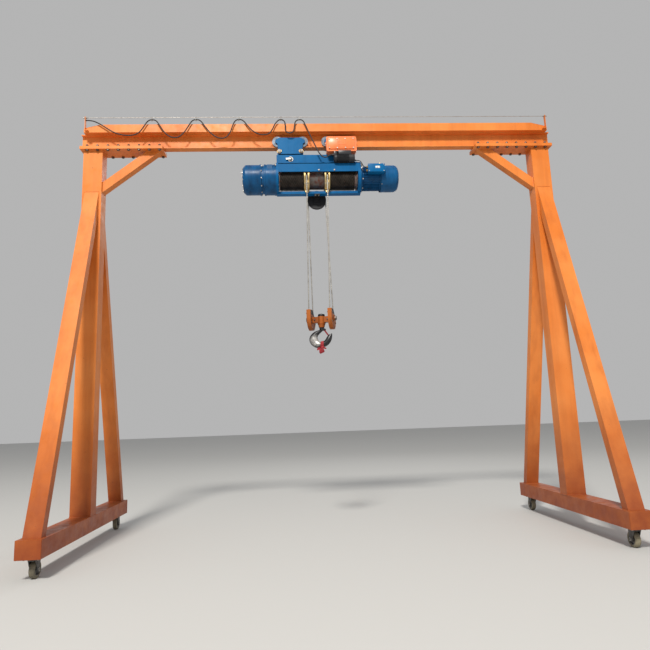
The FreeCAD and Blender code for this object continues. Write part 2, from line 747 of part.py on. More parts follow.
motor_end = hoist_right + motor_length
write("hoist_motor", turned([
    (hoist_right, 0), (hoist_right, motor_radius + 14), (hoist_right + 18, motor_radius + 14),
    (hoist_right + 18, motor_radius), (motor_end, motor_radius), (motor_end, 0)]))
fan_cover = rod(motor_end, 0, axis_z, fan_cover_radius, fan_cover_length, (1, 0, 0))
rim = [e for e in fan_cover.Edges if abs(e.BoundBox.XMin - motor_end - fan_cover_length) < 0.1]
fan_cover = fan_cover.makeFillet(fan_cover_round, rim[:1])
fan_space = rod(motor_end - 1, 0, axis_z, fan_cover_radius - fan_cover_round,
                fan_cover_length - fan_cover_wall, (1, 0, 0))
fan_cover = fan_cover.cut(fan_space)
write("motor_fan_cover", fan_cover)

box_x0 = hoist_right + box_start
box_z0 = axis_z - 5
terminal_box = box(box_x0, box_x0 + box_length, -motor_radius - box_depth, -motor_radius + 30,
                   box_z0, box_z0 + box_height)
seat = rod(box_x0 - 1, 0, axis_z, motor_radius + swivel_gap, box_length + 2, (1, 0, 0))
cover_seat = rod(motor_end - swivel_gap, 0, axis_z, fan_cover_radius + swivel_gap, box_length, (1, 0, 0))
terminal_box = terminal_box.cut(seat).cut(cover_seat)
lead_entry = rod(box_x0 - lead_entry_length, travel_motor_y, lead_entry_z, lead_gland_radius,
                 lead_entry_length + 1, (1, 0, 0))
write("terminal_box", terminal_box.fuse(lead_entry).removeSplitter())


# ---------------------------------------------------------------- drum, guides, equaliser
def drum():
    left = bay_left + drum_end_gap
    right = bay_right - drum_end_gap
    wound = drum_radius + 2 * rope_radius
    shell = turned([
        (hoist_left + 4, 0), (hoist_left + 4, drum_shaft_radius), (left, drum_shaft_radius),
        (left, drum_flange_radius), (left + drum_flange, drum_flange_radius),
        (left + drum_flange, wound), (right - drum_flange, wound),
        (right - drum_flange, drum_flange_radius), (right, drum_flange_radius),
        (right, drum_shaft_radius), (hoist_right - 4, drum_shaft_radius), (hoist_right - 4, 0)])
    inside = drum_radius - drum_wall
    hollow = turned([(left + drum_flange, drum_shaft_radius), (left + drum_flange, inside),
                     (right - drum_flange, inside), (right - drum_flange, drum_shaft_radius)])
    return shell.cut(hollow)


def rope_guide(x):
    """A split ring round the drum with a foot that the bottom bar keeps from turning."""
    bore = drum_radius + 2 * rope_radius + guide_gap
    ring = rod(x - guide_width / 2, 0, axis_z, ring_radius, guide_width, (1, 0, 0))
    foot = box(x - 20, x + 20, -bottom_bar_width / 2 - 14, -bottom_bar_width / 2 - guide_foot_gap,
               bottom_bar_z + 8, axis_z - ring_radius + 40)
    ring = ring.fuse([foot, to_rear(foot)])
    ring = ring.cut(rod(x - guide_width, 0, axis_z, bore, 2 * guide_width, (1, 0, 0)))
    slot = box(x - rope_radius - 6, x + rope_radius + 6, -ring_radius - 2, -bore + 12,
               axis_z - guide_slot_share * drum_radius, axis_z + 20)
    return ring.cut(slot).removeSplitter()


falls_x = (rope_centre_x - rope_spacing / 2, rope_centre_x + rope_spacing / 2)
write("rope_drum", drum())
write("rope_guides", *[rope_guide(x) for x in falls_x])


def sheave(radius, width, pin_radius):
    """A grooved rope sheave about the Y axis, centred on the origin."""
    half = width / 2
    groove = radius - sheave_groove_depth
    floor = sheave_groove_floor / 2
    lip = half - sheave_lip
    profile = [(pin_radius, -half), (radius, -half), (radius, -lip), (groove, -floor),
               (groove, floor), (radius, lip), (radius, half), (pin_radius, half)]
    wire = Part.makePolygon([V(r, y, 0) for r, y in profile] + [V(profile[0][0], profile[0][1], 0)])
    return Part.Face(wire).revolve(V(0, 0, 0), V(0, 1, 0), 360)


equaliser = sheave(equaliser_radius, equaliser_width, equaliser_pin_radius + sheave_bore_gap)
equaliser.translate(V(rope_centre_x, equaliser_y, equaliser_z))
write("equaliser_sheave", equaliser)


def equaliser_hanger():
    """A bent strap under the bottom bar with the sheave's pin."""
    gap = 3.0
    strap = 10.0
    half = 32.0
    front = equaliser_y - equaliser_width / 2 - gap - strap
    upright = box(rope_centre_x - half, rope_centre_x + half, front, front + strap,
                  equaliser_z - half, bottom_bar_z)
    seat = box(rope_centre_x - half, rope_centre_x + half, -bottom_bar_width / 2, front + strap,
               bottom_bar_z - strap, bottom_bar_z)
    pin = rod(rope_centre_x, front - 8, equaliser_z, equaliser_pin_radius,
              equaliser_width + strap + 2 * gap + 8, (0, 1, 0))
    head = rod(rope_centre_x, equaliser_y + equaliser_width / 2 + gap, equaliser_z,
               equaliser_pin_radius + 8, 8, (0, 1, 0))
    return upright.fuse([seat, pin, head]).removeSplitter()


write("equaliser_hanger", equaliser_hanger())


# ---------------------------------------------------------------- hook block
def block_sheave(side):
    x = rope_centre_x + side * rope_spacing / 2
    shape = sheave(sheave_radius, sheave_width, sheave_pin_radius + sheave_bore_gap)
    shape.rotate(V(0, 0, 0), V(0, 0, 1), 90)
    shape.translate(V(x, 0, sheave_axis_z))
    return turn_block(shape)


def upright_round(x0, x1, radius, front_top, rear_top):
    """A disc across X whose front and rear run straight up to their own heights."""
    disc = rod(x0, 0, sheave_axis_z, radius, x1 - x0, (1, 0, 0))
    front = box(x0, x1, -radius, 0, sheave_axis_z, sheave_axis_z + front_top)
    rear = box(x0, x1, 0, radius, sheave_axis_z, sheave_axis_z + rear_top)
    return disc.fuse([front, rear])


def sheave_cover(side):
    """Two cheeks and a rim round the sheave, high at the front and cut low behind."""
    x = rope_centre_x + side * rope_spacing / 2
    inner = sheave_width / 2 + cover_gap
    outer = inner + cover_thickness
    shell = upright_round(x - outer, x + outer, cover_radius, cover_front_height, cover_rear_height)
    space = upright_round(x - inner, x + inner, cover_radius - cover_thickness,
                          cover_radius + 1, cover_radius + 1)
    top = box(x - outer - 1, x + outer + 1, -cover_radius - 1, cover_radius + 1,
              sheave_axis_z + cover_front_height, sheave_axis_z + cover_radius + 1)
    behind = box(x - outer - 1, x + outer + 1, cover_front_depth - cover_radius, cover_radius + 1,
                 sheave_axis_z + cover_rear_height, sheave_axis_z + cover_radius + 1)
    bore = rod(x - outer - 1, 0, sheave_axis_z, sheave_pin_radius + tie_gap, 2 * outer + 2, (1, 0, 0))
    return turn_block(shell.cut(space).cut(top).cut(behind).cut(bore).removeSplitter())


def crosshead():
    """A forged block carrying the sheave pin, with a collar and a bore for the hook's shank."""
    bottom = sheave_axis_z - crosshead_below
    body = rod(rope_centre_x, 0, bottom, crosshead_radius, crosshead_below + crosshead_above, (0, 0, 1))
    arm = rope_spacing / 2 - sheave_width / 2 - cover_gap - cover_thickness - crosshead_seat_gap
    arms = centred_box(rope_centre_x, 0, sheave_axis_z - crosshead_arm_below, 2 * arm,
                       crosshead_arm_depth, crosshead_arm_below + crosshead_arm_above)
    collar = Part.makeCone(hook_shank_radius + 5, hook_shank_radius + 15, crosshead_neck,
                           V(rope_centre_x, 0, bottom - crosshead_neck), V(0, 0, 1))
    reach = rope_spacing / 2 + sheave_width / 2 + cover_gap + cover_thickness + 14
    pin = rod(rope_centre_x - reach, 0, sheave_axis_z, sheave_pin_radius, 2 * reach, (1, 0, 0))
    bore = rod(rope_centre_x, 0, bottom - crosshead_neck - 1, hook_shank_radius + hook_bore_gap,
               crosshead_neck + crosshead_below + crosshead_above + 2, (0, 0, 1))
    return turn_block(body.fuse([arms, pin, collar]).cut(bore).removeSplitter())


def hook_section(angle, inner, outer, breadth):
    """An oval section of the bowl at an angle round its centre, 90 being straight up."""
    a = math.radians(angle)
    out = V(math.cos(a), 0, math.sin(a))
    centre = V(rope_centre_x, 0, hook_bowl_z) + out * ((inner + outer) / 2)
    depth = (outer - inner) / 2
    major, minor = max(depth, breadth / 2), min(depth, breadth / 2)
    upright = out if depth >= breadth / 2 else V(0, 1, 0)
    aside = V(0, 1, 0) if depth >= breadth / 2 else out * -1
    oval = Part.Ellipse(centre + upright * major, centre + aside * minor, centre)
    return Part.Wire(oval.toShape())


def hook():
    """Single hook: shank and nut, a bowl of oval section and a tapered point."""
    top = sheave_axis_z + crosshead_above
    shank = rod(rope_centre_x, 0, hook_neck_z, hook_shank_radius,
                top + rope_gap + hook_nut_height / 2 - hook_neck_z, (0, 0, 1))
    nut = rod(rope_centre_x, 0, top + rope_gap, hook_nut_radius, hook_nut_height, (0, 0, 1))
    nut = nut.makeFillet(hook_nut_dome, [e for e in nut.Edges
                                         if e.BoundBox.ZMin > top + hook_nut_height - 1])
    neck = Part.Wire(Part.makeCircle(hook_shank_radius, V(rope_centre_x, 0, hook_neck_z), V(0, 0, -1)))
    # angle, inner radius, outer radius, breadth
    stations = ((150, 50, 116, 60), (195, 54, 154, 84), (235, 52, 142, 84), (270, 50, 122, 80),
                (310, 50, 116, 72), (345, 52, 116, 58), (365, 64, 120, 40), (377, 98, 124, 18))
    bowl = Part.makeLoft([neck] + [hook_section(*station) for station in stations], True, False)
    return shank.fuse([nut, bowl])


def latch_frame(shape):
    """Turn a latch drawn straight down from its pin to the closed angle, and put it in place."""
    shape.rotate(V(0, 0, 0), V(0, 1, 0), -latch_angle)
    shape.translate(V(rope_centre_x + latch_pivot_out, 0, latch_pivot_z))
    return shape


def hook_latch():
    half = latch_width / 2
    face = latch_thickness / 2
    tongue = box(face - latch_depth, face, -half, half, -latch_length, 0)
    tongue = tongue.cut(box(face - latch_depth - 1, -face, latch_thickness - half, half - latch_thickness,
                            latch_thickness - latch_length, 1))
    eye = rod(0, -half, 0, latch_pin_radius + 4, latch_width, (0, 1, 0))
    hole = rod(0, -half - 1, 0, latch_pin_radius + swivel_pin_gap, latch_width + 2, (0, 1, 0))
    return latch_frame(tongue.fuse(eye).cut(hole).removeSplitter())


def latch_pin():
    """The pin and the lug on the shank that hold the latch."""
    reach = latch_width / 2 + 8
    pin = rod(rope_centre_x + latch_pivot_out, -reach, latch_pivot_z, latch_pin_radius, 2 * reach, (0, 1, 0))
    ears = None
    for side in (-1, 1):
        y0 = side * (latch_width / 2 + 1) - (6 if side < 0 else 0)
        ear = box(rope_centre_x, rope_centre_x + latch_pivot_out + 8, y0, y0 + 6,
                  latch_pivot_z - 8, latch_pivot_z + 12)
        ears = ear if ears is None else ears.fuse(ear)
    return pin.fuse(ears)


def ribbon():
    """A cloth tied round the bottom of the hook with its two tails hanging."""
    half = ribbon_width / 2
    low = hook_bowl_z - ribbon_under
    high = hook_bowl_z - 50 + 8
    side = 43.0
    band = box(rope_centre_x - half, rope_centre_x + half, -side - ribbon_thickness,
               side + ribbon_thickness, low - ribbon_thickness, high + ribbon_thickness)
    band = band.cut(box(rope_centre_x - half - 1, rope_centre_x + half + 1, -side, side, low, high))
    tails = box(rope_centre_x - half - 14, rope_centre_x + 4, -ribbon_thickness, ribbon_thickness,
                low - ribbon_drop, low - 1)
    return turn_block(band.fuse(tails).removeSplitter())


write("sheave_covers", sheave_cover(-1), sheave_cover(1))
write("crosshead", crosshead())
write("left_hook_sheave", block_sheave(-1))
write("right_hook_sheave", block_sheave(1))
hook_solid = hook().fuse(latch_pin())
write("hook", turn_block(hook_solid.removeSplitter()))
write("hook_latch", turn_block(hook_latch()))
write("signal_ribbon", ribbon())


# ---------------------------------------------------------------- ropes
block_rope_radius = sheave_radius - sheave_groove_depth + rope_gap + rope_radius
equaliser_rope_radius = equaliser_radius - sheave_groove_depth + rope_gap + rope_radius
drum_rope_y = -(drum_radius + 2 * rope_radius + rope_gap + rope_radius)


def rope_bight(side):
    """The half turn of rope under a hook sheave."""
    x = rope_centre_x + side * rope_spacing / 2
    ring = Part.Face(Part.Wire(Part.makeCircle(rope_radius, V(x, -block_rope_radius, sheave_axis_z),
                                               V(0, 0, 1))))
    return turn_block(ring.revolve(V(x, 0, sheave_axis_z), V(1, 0, 0), 180))


def equaliser_bight():
    """The half turn of rope over the equaliser sheave."""
    start = V(rope_centre_x - equaliser_rope_radius, equaliser_y, equaliser_z)
    ring = Part.Face(Part.Wire(Part.makeCircle(rope_radius, start, V(0, 0, 1))))
    return ring.revolve(V(rope_centre_x, equaliser_y, equaliser_z), V(0, 1, 0), 180)


def fall(top, side, front):
    """One straight fall, from its top point down to a hook sheave."""
    turn = math.radians(-block_turn)
    x = side * rope_spacing / 2
    y = front * block_rope_radius
    foot = V(rope_centre_x + x * math.cos(turn) - y * math.sin(turn),
             x * math.sin(turn) + y * math.cos(turn), sheave_axis_z + fall_end_gap)
    return Part.makeCylinder(rope_radius, (foot - top).Length, top, foot - top)


drum_falls = []
equaliser_falls = []
for side, x in zip((-1, 1), falls_x):
    drum_falls.append(fall(V(x, drum_rope_y, axis_z), side, -1))
    rear_top = V(rope_centre_x + side * equaliser_rope_radius, equaliser_y, equaliser_z - fall_end_gap)
    equaliser_falls.append(fall(rear_top, side, 1))
write("drum_falls", *drum_falls)
write("equaliser_falls", *equaliser_falls)
write("equaliser_rope", equaliser_bight())
write("hook_block_rope", rope_bight(-1), rope_bight(1))


# ---------------------------------------------------------------- feed cable
# hung in loops from the carrier wire, then down to the travel motor
cable_route = [
    (-2784, -125, 4856), (-2716, -125, 4856), (-2640, -126, 4824), (-2560, -128, 4770),
    (-2470, -129, 4706), (-2365, -130, 4665), (-2240, -129, 4655), (-2155, -127, 4697),
    (-2105, -126, 4775), (-2067, -125, 4841), (-2031, -125, 4862), (-1989, -125, 4862),
    (-1953, -125, 4841), (-1917, -127, 4779), (-1862, -129, 4690), (-1790, -131, 4630),
    (-1698, -131, 4627), (-1632, -129, 4694), (-1583, -127, 4776), (-1547, -125, 4841),
    (-1511, -125, 4862), (-1469, -125, 4862), (-1433, -125, 4841), (-1395, -126, 4780),
    (-1330, -128, 4692), (-1245, -130, 4620), (-1148, -130, 4612), (-1088, -128, 4688),
    (-1062, -126, 4778), (-1038, -125, 4834), (-1006, -125, 4860), (-962, -125, 4862),
    (-926, -125, 4841), (-886, -127, 4782), (-822, -129, 4704), (-733, -131, 4656),
    (-635, -131, 4660), (-587, -129, 4722), (-561, -127, 4788), (-537, -125, 4822),
    (-506, -125, 4856), (-462, -125, 4856), (-431, -126, 4822), (-430, -128, 4764),
    (-434, -131, 4712), (-406, -133, 4680), (-364, -133, 4676), (-331, -131, 4701),
    (-321, -129, 4762), (-312, -127, 4826), (-282, -125, 4853), (-243, -125, 4857),
    (-209, -127, 4835), (-188, -131, 4778), (-160, -137, 4706), (-132, -144, 4630),
    (-102, -152, 4558), (-72, -162, 4478), (-38, -172, 4398), (2, -183, 4342),
    (50, -190, 4332), (84, -190, 4364), (118, -190, 4364)]
write("festoon_cable", cord_tube(cable_route, cable_radius))

# the short lead from the travel motor to the terminal box
lead_route = [
    (400, -190, 4290), (424, -190, 4290), (447, -193, 4280), (461, -196, 4259), (470, -196, 4236),
    (482, -193, 4214), (500, -190, 4205), (520, -190, 4205)]
write("motor_lead", cord_tube(lead_route, lead_radius))
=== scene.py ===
"""Looks of the gantry crane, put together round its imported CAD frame."""

import math
import random

import bmesh
import bpy
from mathutils import Matrix, Vector
from mathutils.bvhtree import BVHTree


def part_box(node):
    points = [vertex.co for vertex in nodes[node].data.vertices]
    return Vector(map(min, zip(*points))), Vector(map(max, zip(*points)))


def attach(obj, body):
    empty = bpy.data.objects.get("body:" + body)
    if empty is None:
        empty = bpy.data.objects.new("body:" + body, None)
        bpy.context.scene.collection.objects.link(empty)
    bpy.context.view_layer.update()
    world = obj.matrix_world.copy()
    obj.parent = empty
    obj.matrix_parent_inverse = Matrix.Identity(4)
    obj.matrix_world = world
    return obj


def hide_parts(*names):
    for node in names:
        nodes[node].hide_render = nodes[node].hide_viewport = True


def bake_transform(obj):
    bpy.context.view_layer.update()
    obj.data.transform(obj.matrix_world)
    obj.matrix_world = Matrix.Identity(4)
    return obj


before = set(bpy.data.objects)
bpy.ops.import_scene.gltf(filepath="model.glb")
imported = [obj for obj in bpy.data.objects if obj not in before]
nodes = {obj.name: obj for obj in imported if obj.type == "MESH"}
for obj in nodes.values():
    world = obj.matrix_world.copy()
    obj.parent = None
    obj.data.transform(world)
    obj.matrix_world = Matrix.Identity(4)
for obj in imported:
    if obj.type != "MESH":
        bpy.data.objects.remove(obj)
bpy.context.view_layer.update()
random.seed(7)


# ---------- floor, light and camera
# A pale floor far larger than the crane, a strong soft light high in front and to the left,
# weak ones on the right and behind, and an even white sky round it all.
def stage_floor():
    bm = bmesh.new()
    bmesh.ops.create_grid(bm, x_segments=1, y_segments=1, size=60)
    mesh = bpy.data.meshes.new("floor")
    bm.to_mesh(mesh)
    bm.free()
    floor = bpy.data.objects.new("floor", mesh)
    bpy.context.scene.collection.objects.link(floor)
    material = bpy.data.materials.new("pale_floor")
    material.use_nodes = True
    shader = material.node_tree.nodes["Principled BSDF"]
    shader.inputs["Base Color"].default_value = (0.52, 0.52, 0.51, 1)
    shader.inputs["Roughness"].default_value = 0.85
    mesh.materials.append(material)


def soft_light(name, place, target, size, power, colour):
    lamp = bpy.data.lights.new(name, "AREA")
    lamp.shape = "DISK"
    lamp.size = size
    lamp.energy = power
    lamp.color = colour
    holder = bpy.data.objects.new(name, lamp)
    holder.location = place
    holder.rotation_euler = (Vector(target) - Vector(place)).to_track_quat("-Z", "Y").to_euler()
    bpy.context.scene.collection.objects.link(holder)


stage_floor()
soft_light("key", (-4.0, -16.0, 18.0), (0, 0, 2.6), 3.5, 5700, (1.0, 0.96, 0.89))
soft_light("fill", (9.0, -7.0, 4.5), (0, 0, 2.4), 6.0, 60, (0.94, 0.97, 1.0))
soft_light("rim", (3.0, 10.0, 9.0), (0, 0, 3.0), 5.0, 160, (1.0, 1.0, 1.0))

sky = bpy.data.worlds.new("sky")
sky.use_nodes = True
sky.node_tree.nodes["Background"].inputs["Color"].default_value = (1.0, 1.0, 1.0, 1)
sky.node_tree.nodes["Background"].inputs["Strength"].default_value = 0.46
bpy.context.scene.world = sky
bpy.context.scene.view_settings.view_transform = "Standard"

camera_place = Vector((-0.4188, -6.3779, 1.2553))
camera_yaw = math.radians(3.478)
camera_pitch = math.radians(9.714)
camera_roll = math.radians(-2.087)
ahead = Vector((math.sin(camera_yaw) * math.cos(camera_pitch),
                math.cos(camera_yaw) * math.cos(camera_pitch), math.sin(camera_pitch)))
level = Vector((math.cos(camera_yaw), -math.sin(camera_yaw), 0))
above = level.cross(ahead)
across = level * math.cos(camera_roll) + above * math.sin(camera_roll)
upward = above * math.cos(camera_roll) - level * math.sin(camera_roll)
view = bpy.data.cameras.new("camera")
view.lens = 31.0
view.sensor_width = 36.0
view.clip_end = 200
camera = bpy.data.objects.new("camera", view)
camera.matrix_world = Matrix((across, upward, -ahead)).transposed().to_4x4()
camera.location = camera_place
bpy.context.scene.collection.objects.link(camera)
bpy.context.scene.camera = camera


# ---------- side frames
# Rectangular steel tubes cut to length and welded: a post and two leaning legs on a bottom
# beam at each side. All of it has one coat of orange enamel, brushed on over primer, faded
# where rain runs down, and darker near the floor: painted shade with some grime.
def new_material(name):
    """An empty node material: its tree, its principled shader, and its object coordinates."""
    material = bpy.data.materials.new(name)
    material.use_nodes = True
    tree = material.node_tree
    place = tree.nodes.new("ShaderNodeTexCoord").outputs["Object"]
    return material, tree, tree.nodes["Principled BSDF"], place


def stretched(tree, place, x, y, z):
    mapping = tree.nodes.new("ShaderNodeMapping")
    mapping.inputs["Scale"].default_value = (x, y, z)
    tree.links.new(place, mapping.inputs["Vector"])
    return mapping.outputs["Vector"]


def noise(tree, place, scale, detail=4.0, roughness=0.55):
    texture = tree.nodes.new("ShaderNodeTexNoise")
    texture.inputs["Scale"].default_value = scale
    texture.inputs["Detail"].default_value = detail
    texture.inputs["Roughness"].default_value = roughness
    tree.links.new(place, texture.inputs["Vector"])
    return texture.outputs["Fac"]


def ramp(tree, value, low, high, start=0.0, end=1.0):
    """Map a value from low..high to start..end, clamped."""
    mapped = tree.nodes.new("ShaderNodeMapRange")
    for socket, number in (("From Min", low), ("From Max", high), ("To Min", start), ("To Max", end)):
        mapped.inputs[socket].default_value = number
    tree.links.new(value, mapped.inputs["Value"])
    return mapped.outputs["Result"]


def mix(tree, share, first, second):
    """Blend two colours, each a tuple or a socket, by a share."""
    blend = tree.nodes.new("ShaderNodeMix")
    blend.data_type = "RGBA"
    tree.links.new(share, blend.inputs[0])
    for socket, colour in ((blend.inputs[6], first), (blend.inputs[7], second)):
        if isinstance(colour, tuple):
            socket.default_value = (*colour, 1)
        else:
            tree.links.new(colour, socket)
    return blend.outputs[2]


def roughen(tree, shader, height, distance, strength=1.0):
    bump = tree.nodes.new("ShaderNodeBump")
    bump.inputs["Strength"].default_value = strength
    bump.inputs["Distance"].default_value = distance
    tree.links.new(height, bump.inputs["Height"])
    tree.links.new(bump.outputs["Normal"], shader.inputs["Normal"])


def uneven_gloss(tree, shader, place, scale, detail, low, high):
    tree.links.new(ramp(tree, noise(tree, place, scale, detail), 0.3, 0.7, low, high),
                   shader.inputs["Roughness"])


def times(tree, first, second):
    product = tree.nodes.new("ShaderNodeMath")
    product.operation = "MULTIPLY"
    tree.links.new(first, product.inputs[0])
    tree.links.new(second, product.inputs[1])
    return product.outputs[0]


def enamel(name, fresh, faded, deep, chip, gloss=0.38, floor_shade_and_grime=0.5, streaks=0.22, glint=0.25):
    """Brushed enamel: cloudy fading, rain streaks, painted shade and grime towards the floor, and a few
    chips.
    """
    material, tree, shader, place = new_material(name)
    cloud = ramp(tree, noise(tree, place, 1.3, 5.0), 0.38, 0.66)
    streak = ramp(tree, noise(tree, stretched(tree, place, 9, 9, 0.6), 1.6, 6.0), 0.45, 0.72)
    colour = mix(tree, cloud, fresh, faded)
    colour = mix(tree, ramp(tree, streak, 0, 1, 0, streaks), colour, deep)
    split = tree.nodes.new("ShaderNodeSeparateXYZ")
    tree.links.new(place, split.inputs["Vector"])
    # Darker towards the floor, by the given share: painted shade with some grime.
    low = ramp(tree, split.outputs["Z"], 0.25, 1.5, floor_shade_and_grime, 0.0)
    shade_and_grime = times(tree, low, ramp(tree, noise(tree, place, 6.0, 8.0), 0.35, 0.7, 0.75, 1.0))
    colour = mix(tree, shade_and_grime, colour, deep)
    spots = ramp(tree, noise(tree, place, 34.0, 3.0, 0.7), 0.72, 0.74)
    colour = mix(tree, spots, colour, chip)
    tree.links.new(colour, shader.inputs["Base Color"])
    uneven_gloss(tree, shader, place, 11.0, 5.0, gloss - 0.08, gloss + 0.16)
    shader.inputs["Specular IOR Level"].default_value = glint
    roughen(tree, shader, noise(tree, stretched(tree, place, 1, 1, 0.25), 160.0, 3.0), 0.0006, 0.5)
    return material


def finish_nodes(material, *names):
    """Give the CAD nodes' own meshes their finish."""
    for name in names:
        nodes[name].data.materials.clear()
        nodes[name].data.materials.append(material)


# The frames' darkening towards the floor is painted shade with some grime.
orange = enamel("orange_enamel", (0.66, 0.178, 0.028), (0.76, 0.250, 0.058), (0.20, 0.036, 0.014),
                (0.13, 0.045, 0.025), floor_shade_and_grime=0.95)
finish_nodes(orange, "left_post", "right_post", "left_bottom_beam", "right_bottom_beam", "left_legs",
             "right_legs", "knee_braces", "closing_plates")


# ---------- weld seams
# Every joint of the side frames and the girder is closed by a hand-laid fillet weld, a bead
# of overlapping ripples, painted over with the rest. The seams on the girder are in stitches.
def ring_place(place, heading, side, radius):
    """Where a unit ring goes, facing along heading, with its first corner towards side."""
    turn = Matrix((side, heading.cross(side), heading)).transposed().to_4x4()
    return Matrix.Translation(place) @ turn @ Matrix.Scale(radius, 4)


def edges_of(corners):
    """The edges at some corners, each once and always in the same order."""
    return list(dict.fromkeys(edge for corner in corners for edge in corner.link_edges))


def extrude_ring(bm, edges, matrix):
    """Extrude an open loop of edges, move the new loop, and return its edges."""
    made = bmesh.ops.extrude_edge_only(bm, edges=edges)["geom"]
    corners = {v for v in made if isinstance(v, bmesh.types.BMVert)}
    bmesh.ops.transform(bm, matrix=matrix, verts=list(corners))
    return [e for e in made if isinstance(e, bmesh.types.BMEdge) and set(e.verts) <= corners]


def tube_along(bm, line, radius, sides=12, twist=0.0, valley=1.0):
    """A tube along a line, one ring for each point, with closed ends; radius may differ by point.
    Every other corner may lie in a valley, and each ring may be turned further than the last."""
    radii = radius if isinstance(radius, list) else [radius] * len(line)
    side = (line[1] - line[0]).orthogonal().normalized()
    for i, place in enumerate(line):
        heading = (line[min(i + 1, len(line) - 1)] - line[max(i - 1, 0)]).normalized()
        side = (side - heading * side.dot(heading)).normalized()
        here = ring_place(place, heading, side, radii[i]) @ Matrix.Rotation(twist * i, 4, "Z")
        if i == 0:
            ring = bmesh.ops.create_circle(bm, segments=sides, radius=1, matrix=here)["verts"]
            for corner in ring[::2] if valley < 1 else ():
                corner.co = place + (corner.co - place) * valley
            first = edges = edges_of(ring)
        else:
            edges = extrude_ring(bm, edges, here @ last.inverted())
        last = here
    bmesh.ops.edgeloop_fill(bm, edges=first)
    bmesh.ops.edgeloop_fill(bm, edges=edges)


def make_piece(name, bm, body, slot, *materials, smooth=40):
    """A finished mesh that rides on a body; with no body it is left for a blend."""
    bmesh.ops.recalc_face_normals(bm, faces=bm.faces)
    mesh = bpy.data.meshes.new(name)
    bm.to_mesh(mesh)
    bm.free()
    mesh.shade_smooth()
    mesh.set_sharp_from_angle(angle=math.radians(smooth))
    for material in materials:
        mesh.materials.append(material)
    piece = bpy.data.objects.new(name, mesh)
    bpy.context.scene.collection.objects.link(piece)
    if body:
        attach(piece, body)
    return piece


def weld(bm, corners, closed=False, bead=0.006):
    """A rippled bead along straight runs between corners."""
    ripple = 0.008
    stops = [Vector(c) for c in corners]
    if closed:
        stops.append(stops[0])
    line = []
    for start, end in zip(stops, stops[1:]):
        count = max(2, round((end - start).length / ripple))
        line += [start.lerp(end, i / count) for i in range(count)]
    line.append(stops[-1])
    radii = [bead * (1.0 if i % 2 else 0.72) * random.uniform(0.9, 1.1) for i in range(len(line))]
    tube_along(bm, line, radii, sides=6)


def rectangle(x0, x1, y0, y1, z):
    return [(x0, y0, z), (x1, y0, z), (x1, y1, z), (x0, y1, z)]


def standing(x, half, low, high):
    """A rectangle across X."""
    return [(x, -half, low), (x, half, low), (x, half, high), (x, -half, high)]


post_x = 2.7
post_half = 0.111
tube_half = 0.081
brace_half = 0.051
beam_top = 0.345
post_top = 4.5
leg_foot = (-1.187, -1.0929)
leg_head = (3.6732, 3.982)
brace_foot = (3.985, 4.1115)
brace_head = (1.925, 2.0883)
for side, name in ((-1, "left"), (1, "right")):
    bm = bmesh.new()
    x = side * post_x
    weld(bm, rectangle(x - post_half, x + post_half, -tube_half, tube_half, beam_top), True)
    weld(bm, rectangle(x - post_half, x + post_half, -tube_half, tube_half, post_top), True)
    for end in (-1, 1):
        feet = [y * -end for y in leg_foot]
        left, right = x - tube_half, x + tube_half
        weld(bm, rectangle(left, right, min(feet) - 0.001, max(feet) + 0.001, beam_top), True)
        y = end * tube_half
        weld(bm, [(left, y, leg_head[0]), (right, y, leg_head[0]), (right, y, leg_head[1]),
                  (left, y, leg_head[1])], True)
        y = end * 1.2425
        weld(bm, [(x - 0.109, y, 0.1845), (x + 0.109, y, 0.1845), (x + 0.1105, y, 0.344),
                  (x - 0.1105, y, 0.344)], True, bead=0.003)
    weld(bm, standing(side * (post_x - post_half), brace_half, *brace_foot), True)
    ends = sorted(side * x for x in brace_head)
    weld(bm, rectangle(ends[0] - 0.001, ends[1] + 0.001, -brace_half, brace_half, post_top), True)
    make_piece(f"{name}_frame_welds", bm, "crane_frame", "frame_paint", orange)


# ---------- girder and its bolted joints
# A rolled I-beam that the trolleys run on, stiffened by a flat box section stitched on top.
# At each end two thick plates, one welded to the side frame and one to the beam, are held
# together by two rows of hexagon bolts with their nuts on top.
finish_nodes(orange, "girder_beam", "girder_cap", "post_top_plates", "girder_joint_plates",
             "festoon_brackets")

girder_bottom = 4.536
flange_edge = 0.047
cap_bottom = 4.716
stitch = 0.10
stitch_pitch = 0.28
bm = bmesh.new()
for y in (-flange_edge - 0.001, flange_edge + 0.001):
    for side in (-1, 1):
        weld(bm, [(side * 1.889, y, girder_bottom), (side * 2.841, y, girder_bottom)], bead=0.007)
    for i in range(-9, 10):
        x = i * stitch_pitch
        weld(bm, [(x - stitch / 2, y, cap_bottom), (x + stitch / 2, y, cap_bottom)], bead=0.005)
for side in (-1, 1):
    for y in (-0.0995, 0.0995):
        weld(bm, [(side * 2.8085, y, 4.722), (side * 2.8085, y, 4.765), (side * 2.612, y, 4.8145)],
             bead=0.003)
make_piece("girder_welds", bm, "crane_frame", "frame_paint", orange)


def patchy(name, colour, other, scale, detail, limits, metallic=0.0):
    """A material of one colour with another in cloudy patches, which limits give as a ramp."""
    material, tree, shader, place = new_material(name)
    patches = ramp(tree, noise(tree, place, scale, detail), *limits)
    tree.links.new(mix(tree, patches, colour, other), shader.inputs["Base Color"])
    shader.inputs["Metallic"].default_value = metallic
    return material, tree, shader, place


def steel(name, colour, rust, rough=0.42, rust_share=0.35, metallic=1.0):
    """Bare or plated steel, duller and browner in patches."""
    material, tree, shader, place = patchy(name, colour, rust, 24.0, 7.0, (0.42, 0.68, 0, rust_share),
                                           metallic)
    uneven_gloss(tree, shader, place, 40.0, 4.0, rough - 0.08, rough + 0.18)
    roughen(tree, shader, noise(tree, place, 120.0, 3.0), 0.0005, 0.35)
    return material


